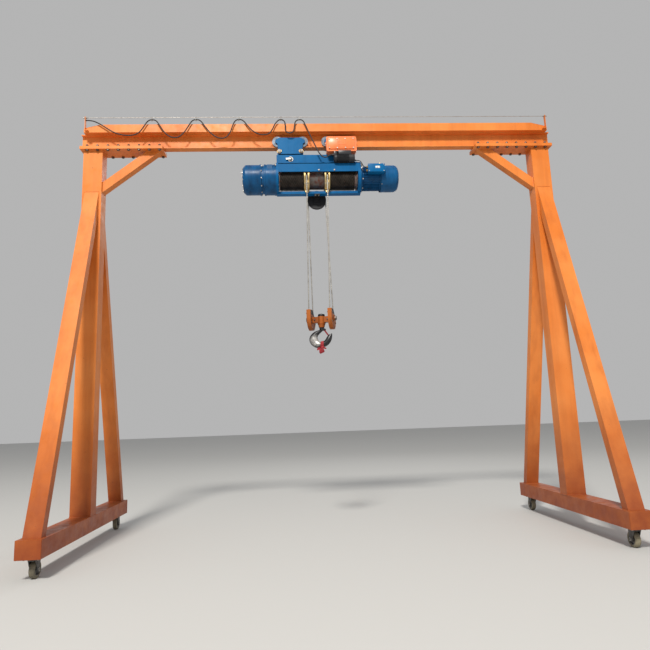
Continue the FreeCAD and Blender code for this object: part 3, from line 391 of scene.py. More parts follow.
def hexagon_mesh(flats, height, washer=0.003, thread=0.0):
    """A washer, a hexagon with chamfered corners, and the end of a thread, standing on the XY plane."""
    bm = bmesh.new()
    if washer:
        bmesh.ops.create_cone(bm, cap_ends=True, segments=16, radius1=flats * 0.62, radius2=flats * 0.62,
                              depth=washer, matrix=Matrix.Translation((0, 0, washer / 2)))
    corner = flats / math.sqrt(3)
    middle = Matrix.Translation((0, 0, washer + height / 2))
    head = bmesh.ops.create_cone(bm, cap_ends=True, segments=6, radius1=corner, radius2=corner,
                                 depth=height, matrix=middle)["verts"]
    top = washer + height
    rim = [e for e in edges_of(head) if all(abs(v.co.z - top) < 1e-6 for v in e.verts)]
    bmesh.ops.bevel(bm, geom=rim, offset=flats * 0.07, affect="EDGES", segments=1,
                    profile=0.5, material=-1)
    if thread:
        bmesh.ops.create_cone(bm, cap_ends=True, segments=12, radius1=flats * 0.33, radius2=flats * 0.28,
                              depth=thread, matrix=Matrix.Translation((0, 0, top + thread / 2)))
    mesh = bpy.data.meshes.new("hexagon")
    bm.to_mesh(mesh)
    bm.free()
    return mesh


def set_copy(bm, mesh, place, axis=(0, 0, 1), spin=0.0):
    """Copy a mesh that stands on the XY plane onto a place, standing along axis."""
    copy = mesh.copy()
    turn = Vector((0, 0, 1)).rotation_difference(Vector(axis)).to_matrix().to_4x4()
    copy.transform(Matrix.Translation(place) @ turn @ Matrix.Rotation(spin, 4, "Z"))
    bm.from_mesh(copy)
    bpy.data.meshes.remove(copy)


def tighten(bm, mesh, place, axis=(0, 0, 1)):
    """Set a nut or bolt on a place, turned as it happened to stop."""
    set_copy(bm, mesh, place, axis, random.uniform(0, 1))


zinc = steel("dull_zinc", (0.46, 0.45, 0.42), (0.20, 0.11, 0.06), 0.45, 0.5)
# Dark rusty steel; on the girder's joint bolts its darkness is painted shade.
dark_bolt_steel = steel("dark_steel_and_shade", (0.15, 0.125, 0.11), (0.11, 0.045, 0.025), 0.50, 0.8, metallic=0.8)
joint_nut = hexagon_mesh(0.030, 0.017, 0.003, 0.008)
joint_head = hexagon_mesh(0.030, 0.0125)
first_bolt = 1.925
bolt_pitch = 0.120
bolt_row = 0.098
for side, name in ((-1, "left"), (1, "right")):
    bm = bmesh.new()
    for i in range(8):
        x = side * (first_bolt + i * bolt_pitch)
        for y in (-bolt_row, bolt_row):
            tighten(bm, joint_nut, (x, y, girder_bottom))
            tighten(bm, joint_head, (x, y, post_top), (0, 0, -1))
    # The joint bolts' dark colour is painted shade.
    make_piece(f"{name}_joint_bolts", bm, "crane_frame", "zinc_steel", dark_bolt_steel)


# ---------- feed cable
# A round rubber cable hung in loops from the carrier wire by wire rings, so that it opens and
# closes like a curtain as the trolleys travel, and then down to the travel motor.
cable_route = [
    (-2.784, -0.125, 4.856), (-2.716, -0.125, 4.856), (-2.640, -0.126, 4.824),
    (-2.560, -0.128, 4.770), (-2.470, -0.129, 4.706), (-2.365, -0.130, 4.665),
    (-2.240, -0.129, 4.655), (-2.155, -0.127, 4.697), (-2.105, -0.126, 4.775),
    (-2.067, -0.125, 4.841), (-2.031, -0.125, 4.862), (-1.989, -0.125, 4.862),
    (-1.953, -0.125, 4.841), (-1.917, -0.127, 4.779), (-1.862, -0.129, 4.690),
    (-1.790, -0.131, 4.630), (-1.698, -0.131, 4.627), (-1.632, -0.129, 4.694),
    (-1.583, -0.127, 4.776), (-1.547, -0.125, 4.841), (-1.511, -0.125, 4.862),
    (-1.469, -0.125, 4.862), (-1.433, -0.125, 4.841), (-1.395, -0.126, 4.780),
    (-1.330, -0.128, 4.692), (-1.245, -0.130, 4.620), (-1.148, -0.130, 4.612),
    (-1.088, -0.128, 4.688), (-1.062, -0.126, 4.778), (-1.038, -0.125, 4.834),
    (-1.006, -0.125, 4.860), (-0.962, -0.125, 4.862), (-0.926, -0.125, 4.841),
    (-0.886, -0.127, 4.782), (-0.822, -0.129, 4.704), (-0.733, -0.131, 4.656),
    (-0.635, -0.131, 4.660), (-0.587, -0.129, 4.722), (-0.561, -0.127, 4.788),
    (-0.537, -0.125, 4.822), (-0.506, -0.125, 4.856), (-0.462, -0.125, 4.856),
    (-0.431, -0.126, 4.822), (-0.430, -0.128, 4.764), (-0.434, -0.131, 4.712),
    (-0.406, -0.133, 4.680), (-0.364, -0.133, 4.676), (-0.331, -0.131, 4.701),
    (-0.321, -0.129, 4.762), (-0.312, -0.127, 4.826), (-0.282, -0.125, 4.853),
    (-0.243, -0.125, 4.857), (-0.209, -0.127, 4.835), (-0.188, -0.131, 4.778),
    (-0.160, -0.137, 4.706), (-0.132, -0.144, 4.630), (-0.102, -0.152, 4.558),
    (-0.072, -0.162, 4.478), (-0.038, -0.172, 4.398), (0.002, -0.183, 4.342),
    (0.050, -0.190, 4.332), (0.084, -0.190, 4.364), (0.118, -0.190, 4.364)]
cable_radius = 0.007


def smooth_line(points):
    """The points of a NURBS line with those control points."""
    curve = bpy.data.curves.new("line", "CURVE")
    curve.dimensions = "3D"
    curve.resolution_u = 8
    spline = curve.splines.new("NURBS")
    spline.points.add(len(points) - 1)
    for point, place in zip(spline.points, points):
        point.co = (*place, 1)
    spline.order_u = 3
    spline.use_endpoint_u = True
    holder = bpy.data.objects.new("line", curve)
    mesh = bpy.data.meshes.new_from_object(holder)
    line = [v.co.copy() for v in mesh.vertices]
    bpy.data.objects.remove(holder)
    bpy.data.curves.remove(curve)
    bpy.data.meshes.remove(mesh)
    return line


def rubber(name, colour, dust=(0.06, 0.05, 0.045), dusty=0.3):
    material, tree, shader, place = patchy(name, colour, dust, 9.0, 5.0, (0.4, 0.7, dusty - 0.5, dusty))
    shader.inputs["Roughness"].default_value = 0.62
    roughen(tree, shader, noise(tree, place, 260.0, 2.0), 0.0004, 0.4)
    return material


black_rubber = rubber("cable_rubber", (0.014, 0.012, 0.013))
finish_nodes(zinc, "festoon_wire")
cable_line = smooth_line(cable_route)
bm = bmesh.new()
tube_along(bm, cable_line, cable_radius)
cable = make_piece("feed_cable", bm, None, "cable_sheath", black_rubber)
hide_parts("festoon_cable")
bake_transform(cable)

wire_height = 4.888
wire_y = -0.125
hanger_places = (-2.012, -1.490, -0.984, -0.484, -0.263)
bm = bmesh.new()
for x in hanger_places:
    loop = [Vector((x + 0.005 * math.sin(a / 3), wire_y + 0.012 * math.sin(a / 12 * math.pi),
                    4.868 + 0.026 * math.cos(a / 12 * math.pi))) for a in range(25)]
    tube_along(bm, loop, 0.0018, 8)
    for end in (-0.009, 0.009):
        tie = [Vector((x + end, wire_y + 0.0085 * math.sin(a / 6 * math.pi),
                       4.854 + 0.0085 * math.cos(a / 6 * math.pi))) for a in range(13)]
        tube_along(bm, tie, 0.0014, 6)
hangers = make_piece("cable_hangers", bm, None, "zinc_steel", zinc)
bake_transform(hangers)

bm = bmesh.new()
for side in (-1, 1):
    for across_wire, length in ((0.009, 0.012), (0.006, 0.020)):
        bmesh.ops.create_cone(bm, cap_ends=True, segments=8, radius1=across_wire, radius2=across_wire,
                              depth=length, matrix=Matrix.Translation((side * 2.772, wire_y, wire_height))
                              @ Matrix.Rotation(math.pi / 2, 4, "Y"))
    set_copy(bm, hexagon_mesh(0.013, 0.008), (side * 2.787, -0.105, 4.73), (0, 0, 1))
make_piece("wire_clamps", bm, "crane_frame", "zinc_steel", zinc)


# ---------- casters
# Bought swivel casters bolted under the ends of the bottom beams: zinc-plated pressed plates
# and forks, dark with dirt and painted shade, and cast-iron wheel centres with dusty rubber tyres bonded on.
def outline(bm, points, closed=False):
    """A chain of edges through points."""
    corner = first = bmesh.ops.create_vert(bm, co=points[0])["vert"][0]
    edges = []
    for point in points[1:]:
        made = bmesh.ops.extrude_vert_indiv(bm, verts=[corner])
        corner = made["verts"][0]
        corner.co = point
        edges += made["edges"]
    if closed:
        edges += bmesh.ops.contextual_create(bm, geom=[corner, first])["edges"]
    return edges


def turned(bm, profile, centre, steps=48, axis=(1, 0, 0), closed=False):
    """Turn pairs of (place along the axis, radius) about an axis through centre."""
    axis = Vector(axis).normalized()
    side = axis.orthogonal().normalized()
    points = [Vector(centre) + axis * along + side * radius for along, radius in profile]
    edges = outline(bm, points, closed)
    bmesh.ops.spin(bm, geom=edges, cent=centre, axis=axis, angle=2 * math.pi, steps=steps, use_merge=True)
    bmesh.ops.remove_doubles(bm, verts=bm.verts, dist=1e-6)


def round_corner(along, radius, size, start, end, count=5):
    """Points of a quarter round, from one angle to another in degrees, about a centre."""
    angles = [math.radians(start + (end - start) * i / (count - 1)) for i in range(count)]
    return [(along + size * math.cos(a), radius + size * math.sin(a)) for a in angles]


tyre_rubber = rubber("tyre_rubber", (0.024, 0.022, 0.020), (0.30, 0.26, 0.17), 0.85)
cast_iron = steel("cast_iron", (0.20, 0.20, 0.20), (0.12, 0.07, 0.045), 0.5, 0.4, metallic=0.7)
plated = steel("plated_steel", (0.40, 0.40, 0.39), (0.14, 0.10, 0.07), 0.42, 0.55)
# Dark steel for the caster plates and forks: partly dirt, partly painted shade.
fork_steel = steel("fork_steel", (0.13, 0.125, 0.12), (0.035, 0.028, 0.022), 0.50, 0.8, metallic=0.7)
plate_bolt = hexagon_mesh(0.017, 0.008, 0.002)
caster_pin = 1.132
plate_underside = 0.177
axle_nut = hexagon_mesh(0.030, 0.007, 0.0)
finish_nodes(fork_steel, "caster_plates")
for corner in ("front_left", "front_right", "rear_left", "rear_right"):
    low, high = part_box(f"{corner}_caster_wheel")
    middle = (Vector(low) + Vector(high)) / 2
    half = (high[0] - low[0]) / 2
    tread = (high[2] - low[2]) / 2
    seat = 0.70 * tread
    bm = bmesh.new()
    rim = [(-half, seat), *round_corner(0.010 - half, tread - 0.010, 0.010, 180, 90),
           *round_corner(half - 0.010, tread - 0.010, 0.010, 90, 0), (half, seat)]
    turned(bm, rim, middle, 64, closed=True)
    tyre = make_piece(f"{corner}_tyre", bm, f"{corner}_wheel", "caster_tyre", tyre_rubber, smooth=30)
    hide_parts(f"{corner}_caster_wheel")
    bm = bmesh.new()
    bore = 0.0105
    boss = 0.020
    web = 0.005
    flank = [(half - 0.003, seat), (half - 0.003, seat - 0.005), (web, seat - 0.011), (web, boss + 0.004),
             (half, boss), (half, bore)]
    centre_profile = flank + [(-along, radius) for along, radius in reversed(flank)]
    turned(bm, centre_profile, middle, 48, closed=True)
    make_piece(f"{corner}_wheel_centre", bm, f"{corner}_wheel", "zinc_steel", cast_iron, smooth=30)
    finish_nodes(fork_steel, f"{corner}_caster_fork")
    pin_y = math.copysign(caster_pin, middle.y)
    bm = bmesh.new()
    for side in (-1, 1):
        set_copy(bm, axle_nut, (middle.x + side * 0.035, middle.y, middle.z), (side, 0, 0), 0.3)
    make_piece(f"{corner}_axle_nuts", bm, f"{corner}_swivel", "zinc_steel", zinc)
    bm = bmesh.new()
    for x in (-0.060, 0.060):
        for y in (-0.047, 0.047):
            tighten(bm, plate_bolt, (middle.x + x, pin_y + y, plate_underside), (0, 0, -1))
    make_piece(f"{corner}_plate_bolts", bm, "crane_frame", "zinc_steel", zinc)


# ---------- trolleys
# Two four-wheeled trolleys on the bottom flange. Turned steel wheels, pressed side plates in
# blue enamel, and tie bolts with yellow-passivated nuts that set the width over the flange.
blue = enamel("blue_enamel", (0.003, 0.090, 0.250), (0.005, 0.120, 0.305), (0.002, 0.030, 0.10),
              (0.05, 0.05, 0.05), gloss=0.34, floor_shade_and_grime=0.0, glint=0.09)
# A darker copy of the blue: its darkness is painted shade, its heavier streaks are oil.
oily_shaded_blue = enamel("oily_shaded_blue_enamel", (0.002, 0.062, 0.175), (0.005, 0.095, 0.25),
                   (0.002, 0.018, 0.055), (0.04, 0.04, 0.04), gloss=0.32, floor_shade_and_grime=0.0, streaks=0.6, glint=0.2)
running_steel = steel("running_steel", (0.12, 0.15, 0.19), (0.08, 0.06, 0.05), 0.50, 0.5, metallic=0.6)
greased = steel("greased_steel", (0.16, 0.15, 0.14), (0.06, 0.045, 0.035), 0.38, 0.6)
passivated = steel("yellow_passivated", (0.55, 0.38, 0.15), (0.22, 0.13, 0.06), 0.36, 0.5)
for side in ("left", "right"):
    finish_nodes(running_steel, f"{side}_trolley_left_wheels", f"{side}_trolley_right_wheels")
finish_nodes(blue, "left_trolley_plates", "right_trolley_plates", "trolley_hangers")
finish_nodes(greased, "trolley_tie_bolts")

tie_nut = hexagon_mesh(0.046, 0.012, 0.003)
tie_height = 4.470
tie_reach = 0.132
plate_face = 0.078
bm = bmesh.new()
for side in ("left", "right"):
    low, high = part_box(f"{side}_trolley_plates")
    for x in ((low[0] + high[0]) / 2 - tie_reach, (low[0] + high[0]) / 2 + tie_reach):
        for y in (-plate_face, plate_face):
            tighten(bm, tie_nut, (x, y, tie_height), (0, y, 0))
make_piece("trolley_tie_nuts", bm, "hoist", "guide_brass", passivated)

trunnions = (-0.378, 0.217)
trunnion_height = 4.356
cheek_face = 0.100
keeper_bolt = hexagon_mesh(0.013, 0.006, 0.002)
bm = bmesh.new()
for x in trunnions:
    for side in (-1, 1):
        turned(bm, [(0, 0), (0, 0.031), (0.005, 0.031), (0.005, 0.024), (0.011, 0.023), (0.014, 0.018),
                    (0.014, 0)], (x, side * cheek_face, trunnion_height), 32, (0, side, 0))
        set_copy(bm, keeper_bolt, (x - 0.045, side * cheek_face, trunnion_height), (0, side, 0))
        keeper = Matrix.Translation((x - 0.024, side * (cheek_face + 0.0145), trunnion_height))
        bmesh.ops.create_cube(bm, size=1, matrix=keeper @ Matrix.Diagonal((0.062, 0.004, 0.020, 1)))
make_piece("trunnion_keepers", bm, "hoist", "zinc_steel", zinc)


# ---------- travel drive
# An oil-filled spur gearbox in red-orange enamel with a bolted cover and a blank plate on it.
# Under it is a small black motor with cast cooling fins, a pressed fan cowl and a cable gland.
gearbox_orange = enamel("gearbox_enamel", (0.80, 0.17, 0.055), (0.86, 0.27, 0.10), (0.40, 0.06, 0.025),
                        (0.10, 0.04, 0.03), gloss=0.30, floor_shade_and_grime=0.0)
black_enamel = enamel("black_enamel", (0.018, 0.019, 0.022), (0.04, 0.04, 0.045), (0.008, 0.008, 0.009),
                      (0.14, 0.12, 0.10), gloss=0.36, floor_shade_and_grime=0.0)
finish_nodes(gearbox_orange, "travel_gearbox")


def plate_on(bm, middle, size, bevel, segments=2):
    """A flat plate or lid with rounded edges."""
    block = bmesh.ops.create_cube(bm, size=1, matrix=Matrix.Translation(middle) @ Matrix.Diagonal((*size, 1)))
    edges = edges_of(block["verts"])
    bmesh.ops.bevel(bm, geom=edges, offset=bevel, affect="EDGES", segments=segments, profile=0.5, material=-1)


low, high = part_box("travel_gearbox")
front = low[1]
middle_x = (low[0] + high[0]) / 2
middle_z = (low[2] + high[2]) / 2
lid_half = (0.155, 0.070)
bm = bmesh.new()
plate_on(bm, (middle_x, front - 0.004, middle_z), (2 * lid_half[0], 0.014, 2 * lid_half[1]), 0.005)
plate_on(bm, (middle_x + 0.005, front - 0.0115, middle_z + 0.006), (0.100, 0.003, 0.050), 0.001, 1)
for x in (-0.10, 0.02):
    set_copy(bm, hexagon_mesh(0.019, 0.010, 0.002), (middle_x + x, front + 0.03, high[2] - 0.001), (0, 0, 1))
make_piece("gearbox_cover", bm, "hoist", "frame_paint", gearbox_orange, smooth=35)
cover_bolt = hexagon_mesh(0.013, 0.006, 0.0015)
bm = bmesh.new()
for x in (-1, -0.34, 0.34, 1):
    for z in (-1, 1):
        tighten(bm, cover_bolt, (middle_x + x * (lid_half[0] - 0.012), front - 0.0105,
                                 middle_z + z * (lid_half[1] - 0.012)), (0, -1, 0))
set_copy(bm, hexagon_mesh(0.022, 0.010, 0.003), (low[0] + 0.001, front + 0.05, middle_z + 0.02), (-1, 0, 0))
set_copy(bm, hexagon_mesh(0.022, 0.008, 0.003), (high[0] - 0.001, front + 0.05, low[2] + 0.05), (1, 0, 0))
for x in (-0.080, -0.038, 0.050):
    set_copy(bm, cover_bolt, (middle_x + x, front + 0.012, low[2] + 0.001), (0, 0, -1), 0.4)
make_piece("gearbox_bolts", bm, "hoist", "zinc_steel", zinc)


def finned_body(bm, start, end, axis_place, root, tip, count, thickness):
    """A motor's body along X: a turned barrel with straight fins round it."""
    place = Vector((start, axis_place[0], axis_place[1]))
    turned(bm, [(0, 0), (0, root), (end - start, root), (end - start, 0)], place, count)
    for i in range(count):
        turn = 2 * math.pi * (i + 0.5) / count
        spot = Matrix.Translation(((start + end) / 2, *axis_place)) @ Matrix.Rotation(turn, 4, "X")
        fin = Matrix.Translation((0, 0, (root + tip) / 2 - 0.001))
        shape = Matrix.Diagonal((end - start - 0.006, thickness, tip - root + 0.002, 1))
        bmesh.ops.create_cube(bm, size=1, matrix=spot @ fin @ shape)


motor_axis = (-0.190, 4.316)
motor_start = 0.132
motor_end = 0.382
motor_tip = 0.050
motor_root = 0.043
bm = bmesh.new()
finned_body(bm, motor_start + 0.034, motor_end - 0.066, motor_axis, motor_root, motor_tip, 28, 0.0028)
bell = [(0, 0), (0, 0.030), (0.004, 0.036), (0.012, 0.0485), (0.034, 0.0495), (0.034, 0.0)]
turned(bm, bell, (motor_start, *motor_axis), 40)
cowl = [(0, 0), (0, motor_tip), (0.044, motor_tip), *round_corner(0.052, 0.036, 0.014, 90, 0, 5),
        (0.066, 0.033), (0.063, 0.031), (0.063, 0)]
turned(bm, cowl, (motor_end - 0.066, *motor_axis), 40)
for radius in (0.010, 0.018, 0.026):
    turned(bm, [(0, radius), (0.0025, radius + 0.001), (0.0025, radius + 0.003), (0, radius + 0.004)],
           (motor_end - 0.0035, *motor_axis), 28, closed=True)
gearbox_floor = low[2]
plate_on(bm, (motor_start + 0.132, motor_axis[0], (motor_axis[1] + gearbox_floor) / 2 + 0.018),
         (0.150, 0.070, gearbox_floor - motor_axis[1] - 0.038), 0.004)
plate_on(bm, (motor_start + 0.025, motor_axis[0], (motor_axis[1] + 0.032 + gearbox_floor - 0.004) / 2),
         (0.038, 0.044, gearbox_floor - motor_axis[1] - 0.036), 0.003)
for radius, start, length in ((0.012, -0.014, 0.020), (0.0145, -0.004, 0.010)):
    turned(bm, [(0, 0.0071), (0, radius - 0.001), (0.002, radius), (length, radius), (length, 0.0071)],
           (motor_start + start, motor_axis[0], 4.364), 24, closed=True)
turned(bm, [(-0.004, 0.0053), (-0.004, 0.011), (0.008, 0.0105), (0.008, 0.009), (0.017, 0.0085),
            (0.0178, 0.0053)], (motor_end, -0.190, 4.290), 24, closed=True)
piece = make_piece("travel_motor_body", bm, "hoist", "black_motor", black_enamel, smooth=35)
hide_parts("travel_motor")


# ---------- hoist housing and reducer
# The hoist hangs in a welded steel frame: a top plate with two cheeks, two thick end plates
# and three tie bars, bolted up and sprayed blue. The reducer is a stepped iron casting in a
# darker copy of the blue, which is painted shade, with heavier oil streaks.
finish_nodes(blue, "suspension_frame", "hoist_end_plates", "hoist_tie_bars")
# The reducer's darker blue is painted shade.
finish_nodes(oily_shaded_blue, "gear_reducer")

axis_height = 4.137
top_plate = 4.307
cheek = 0.101
frame_left = -0.545
frame_right = 0.330
bm = bmesh.new()
for side in (-1, 1):
    weld(bm, [(frame_left, side * cheek, top_plate), (frame_right, side * cheek, top_plate)], bead=0.005)
weld(bm, [(frame_right + 0.001, -cheek, top_plate), (frame_right + 0.001, cheek, top_plate)], bead=0.005)
for side in (-1, 1):
    for x in (-0.526, 0.420):
        weld(bm, [(x, side * 0.120, 4.297), (x, side * 0.1725, 4.277)], bead=0.003)
make_piece("hoist_welds", bm, "hoist", "hoist_paint", blue)


def bolt_ring(bm, bolt, x, radius, count, way):
    """Bolts in a ring about the hoist's axis, standing to the left or the right."""
    for i in range(count):
        turn = 2 * math.pi * (i + 0.5) / count
        place = (x, radius * math.cos(turn), axis_height + radius * math.sin(turn))
        set_copy(bm, bolt, place, (way, 0, 0), turn)


frame_bolt = hexagon_mesh(0.024, 0.013, 0.003)
small_bolt = hexagon_mesh(0.016, 0.009, 0.002)
reducer_end = -0.946
bm = bmesh.new()
for side in (-1, 1):
    for z in (4.205, 4.245):
        tighten(bm, frame_bolt, (0.455, side * 0.1655, z), (1, 0, 0))
    tighten(bm, frame_bolt, (-0.551, side * 0.155, 4.258), (-1, 0, 0))
    for x in (-0.047, 0.137):
        tighten(bm, small_bolt, (x, side * 0.172, 4.181), (0, side, 0))
bolt_ring(bm, small_bolt, reducer_end, 0.132, 10, -1)
bolt_ring(bm, cover_bolt, reducer_end - 0.010, 0.060, 6, -1)
make_piece("hoist_bolts", bm, "hoist", "zinc_steel", zinc)

bm = bmesh.new()
turned(bm, [(-0.002, 0.078), (0.006, 0.078), (0.010, 0.074), (0.010, 0.046), (0.004, 0.040), (0.004, 0)],
       (reducer_end, 0, axis_height), 48, (-1, 0, 0))
groove_left = -0.7285
groove_right = -0.6990
for along in (groove_left - 0.012, groove_right + 0.012):
    turned(bm, [(-0.009, 0.178), (-0.009, 0.182), (-0.006, 0.1845), (0.006, 0.1845), (0.009, 0.182),
                (0.009, 0.178)], (along, 0, axis_height), 96, closed=True)
turned(bm, [(0, 0), (0, 0.020), (0.012, 0.018), (0.016, 0.012), (0.016, 0)], (-0.628, -0.120, 4.260),
       24, (0, 0, 1))
# The reducer cover's darker blue is painted shade.
make_piece("reducer_cover", bm, "hoist", "hoist_paint", oily_shaded_blue, smooth=35)

bm = bmesh.new()
bolt_ring(bm, small_bolt, groove_left - 0.004, 0.1735, 12, 1)
make_piece("reducer_bolts", bm, "hoist", "zinc_steel", zinc)


# ---------- hoist motor
# A conical-rotor motor bolted to the right end plate: an iron body with straight cooling fins,
# a spun steel fan cover with a wire grille, and a cast terminal box on its front.
hoist_axis = (0, axis_height)
motor_face = 0.455
cowl_face = 0.700
motor_radius = 0.143
cowl_radius = 0.160
cowl_length = 0.215
cowl_round = 0.055
bm = bmesh.new()
turned(bm, [(0, 0), (0, 0.154), (0.003, 0.157), (0.015, 0.157), (0.018, 0.154), (0.018, 0.136),
            (0.030, 0.129), (0.030, 0)], (motor_face, *hoist_axis), 72)
finned_body(bm, motor_face + 0.030, cowl_face, hoist_axis, 0.129, motor_radius, 44, 0.0045)
turned(bm, [(0, 0.120), (0, 0.1405), (0.016, 0.1405), (0.016, 0.120)], (cowl_face - 0.016, *hoist_axis),
       72, closed=True)
# The motor body's darker blue is painted shade.
piece = make_piece("hoist_motor_body", bm, "hoist", "hoist_paint", oily_shaded_blue, smooth=35)
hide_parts("hoist_motor")

bm = bmesh.new()
skin = 0.003
round_start = (cowl_length - cowl_round, cowl_radius - cowl_round)
outside = [(0, cowl_radius), *round_corner(*round_start, cowl_round, 90, 0, 10)]
inside = [(0, cowl_radius - skin), *round_corner(*round_start, cowl_round - skin, 90, 0, 10)]
turned(bm, outside + inside[::-1], (cowl_face, *hoist_axis), 96, closed=True)
turned(bm, [(-0.001, cowl_radius - 0.001), (-0.001, cowl_radius + 0.0015), (0.012, cowl_radius + 0.0015),
            (0.012, cowl_radius - 0.001)], (cowl_face, *hoist_axis), 96, closed=True)
# The fan cowl's darker blue is painted shade.
piece = make_piece("fan_cowl", bm, "hoist", "hoist_paint", oily_shaded_blue, smooth=35)
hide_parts("motor_fan_cover")

bm = bmesh.new()
grille_face = cowl_face + cowl_length - 0.003
for ring in range(6):
    radius = 0.020 + 0.0165 * ring
    circle = [Vector((grille_face, radius * math.cos(math.pi * a / 24),
                      axis_height + radius * math.sin(math.pi * a / 24))) for a in range(49)]
    tube_along(bm, circle, 0.0018, 6)
for i in range(4):
    turn = math.pi * (i + 0.5) / 4
    reach = Vector((0, math.cos(turn), math.sin(turn))) * (cowl_radius - cowl_round)
    middle = Vector((grille_face - 0.0025, 0, axis_height))
    tube_along(bm, [middle - reach, middle, middle + reach], 0.0022, 6)
make_piece("fan_grille", bm, "hoist", "zinc_steel", plated)

bm = bmesh.new()
fan_place = (cowl_face + 0.150, *hoist_axis)
turned(bm, [(0, 0), (0, 0.036), (0.040, 0.032), (0.040, 0)], fan_place, 32)
turned(bm, [(0, 0.030), (0, 0.128), (0.003, 0.128), (0.003, 0.030)], fan_place, 48, closed=True)
for i in range(12):
    blade = Matrix.Translation(fan_place) @ Matrix.Rotation(2 * math.pi * i / 12, 4, "X")
    bmesh.ops.create_cube(bm, size=1, matrix=blade @ Matrix.Translation((0.019, 0, 0.078))
                          @ Matrix.Diagonal((0.036, 0.003, 0.092, 1)))
make_piece("cooling_fan", bm, "hoist", "black_motor", black_enamel, smooth=35)

bm = bmesh.new()
bolt_ring(bm, small_bolt, motor_face + 0.018, 0.1475, 8, 1)
for i in range(4):
    turn = 2 * math.pi * (i + 0.5) / 4
    outward = Vector((0, math.cos(turn), math.sin(turn)))
    screw = Vector((cowl_face + 0.006, 0, axis_height)) + outward * (cowl_radius + 0.0012)
    turned(bm, [(0, 0), (0, 0.006), (0.002, 0.005), (0.003, 0)], screw, 12, outward)
make_piece("hoist_motor_bolts", bm, "hoist", "zinc_steel", zinc)


# ---------- terminal box
# An aluminium casting in blue enamel with a screwed lid, a bare riveted plate on it and three
# brass cable glands.
finish_nodes(blue, "terminal_box")
low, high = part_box("terminal_box")
box_left = 0.535
lid_middle = Vector(((box_left + high[0]) / 2, low[1] - 0.003, (low[2] + high[2]) / 2))
bm = bmesh.new()
plate_on(bm, lid_middle, (high[0] - box_left + 0.006, 0.016, high[2] - low[2] + 0.006), 0.005, 3)
make_piece("terminal_lid", bm, "hoist", "hoist_paint", blue, smooth=35)
plate_place = lid_middle + Vector((0.014, -0.0085, 0.006))
bm = bmesh.new()
plate_on(bm, plate_place, (0.054, 0.0015, 0.026), 0.0005, 1)
for x in (-0.024, 0.024):
    rivet = plate_place + Vector((x, -0.0007, 0))
    turned(bm, [(0, 0.0022), (0.001, 0.0018), (0.0016, 0)], rivet, 10, (0, -1, 0))
bare_aluminium = steel("bare_aluminium", (0.78, 0.78, 0.77), (0.55, 0.55, 0.54), 0.30, 0.5)
make_piece("bare_plate", bm, "hoist", "zinc_steel", bare_aluminium)
bm = bmesh.new()
for x in (-1, 1):
    for z in (-1, 1):
        screw = lid_middle + Vector((x * 0.088, -0.0078, z * 0.041))
        turned(bm, [(0, 0.0055), (0.0025, 0.005), (0.0035, 0.003), (0.0035, 0)], screw, 16, (0, -1, 0))
make_piece("terminal_screws", bm, "hoist", "zinc_steel", zinc)
bm = bmesh.new()
for place, way in (((box_left, -0.190, 4.165), (-1, 0, 0)), ((high[0] - 0.050, -0.190, high[2]), (0, 0, 1))):
    turned(bm, [(-0.001, 0), (-0.001, 0.014), (0.006, 0.014), (0.006, 0.011), (0.010, 0.011), (0.010, 0.013),
                (0.020, 0.0125), (0.023, 0.009), (0.023, 0)], place, 6, way)
turned(bm, [(-0.001, 0.0095), (-0.001, 0.014), (0.006, 0.014), (0.006, 0.011), (0.009, 0.011),
            (0.009, 0.0125), (0.0145, 0.012), (0.0145, 0.0095)], (box_left, -0.190, 4.205), 6, (-1, 0, 0),
       closed=True)
make_piece("cable_glands", bm, "hoist", "guide_brass", passivated)


# ---------- travel motor's lead
# A short rubber cable that brings the travel motor its current from the terminal box, held
# by a gland at each end and left slack between them.
lead_route = [(0.400, -0.190, 4.290), (0.424, -0.190, 4.290), (0.447, -0.193, 4.280), (0.461, -0.196, 4.259),
              (0.470, -0.196, 4.236), (0.482, -0.193, 4.214), (0.500, -0.190, 4.205), (0.520, -0.190, 4.205)]
lead_radius = 0.005
lead_line = smooth_line(lead_route)
bm = bmesh.new()
tube_along(bm, lead_line, lead_radius)
lead = make_piece("travel_motor_lead", bm, "hoist", "cable_sheath", black_rubber)
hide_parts("motor_lead")


# ---------- rope drum and guides
# A cast drum with turned grooves. Rope is wound on both halves, greased and darkened as painted
# shade, and leaves through two split brass guides; the grooves between them are bare and rusty.
drum_bare = 0.1195
drum_left = -0.522
drum_right = 0.416
flange = 0.012
flange_radius = 0.136
lay = 0.0155
coil_radius = 0.1275
rope_radius = 0.0074
guide_inner = (-0.162, 0.022)
coils = ((drum_left + flange, -0.196), (0.056, drum_right - flange))
bm = bmesh.new()
grooves = []
x = guide_inner[0] - 0.020
while x < guide_inner[1] + 0.020:
    grooves += [(x, drum_bare + 0.003), (x + 0.25 * lay, drum_bare - 0.0005),
                (x + 0.5 * lay, drum_bare - 0.002), (x + 0.75 * lay, drum_bare - 0.0005)]
    x += lay
profile = [(-0.547, 0), (-0.547, 0.034), (drum_left, 0.034), (drum_left, flange_radius - 0.002),
           (drum_left + 0.002, flange_radius), (drum_left + flange - 0.002, flange_radius),
           (drum_left + flange, flange_radius - 0.002), (drum_left + flange, drum_bare), *grooves,
           (drum_right - flange, drum_bare), (drum_right - flange, flange_radius - 0.002),
           (drum_right - flange + 0.002, flange_radius), (drum_right - 0.002, flange_radius),
           (drum_right, flange_radius - 0.002), (drum_right, 0.034), (0.451, 0.034), (0.451, 0)]
turned(bm, profile, (0, 0, axis_height), 72)
drum_iron = steel("drum_iron", (0.22, 0.20, 0.19), (0.20, 0.055, 0.03), 0.42, 0.85, metallic=0.85)
piece = make_piece("drum_barrel", bm, "drum", "greased_steel", drum_iron, smooth=35)
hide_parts("rope_drum")


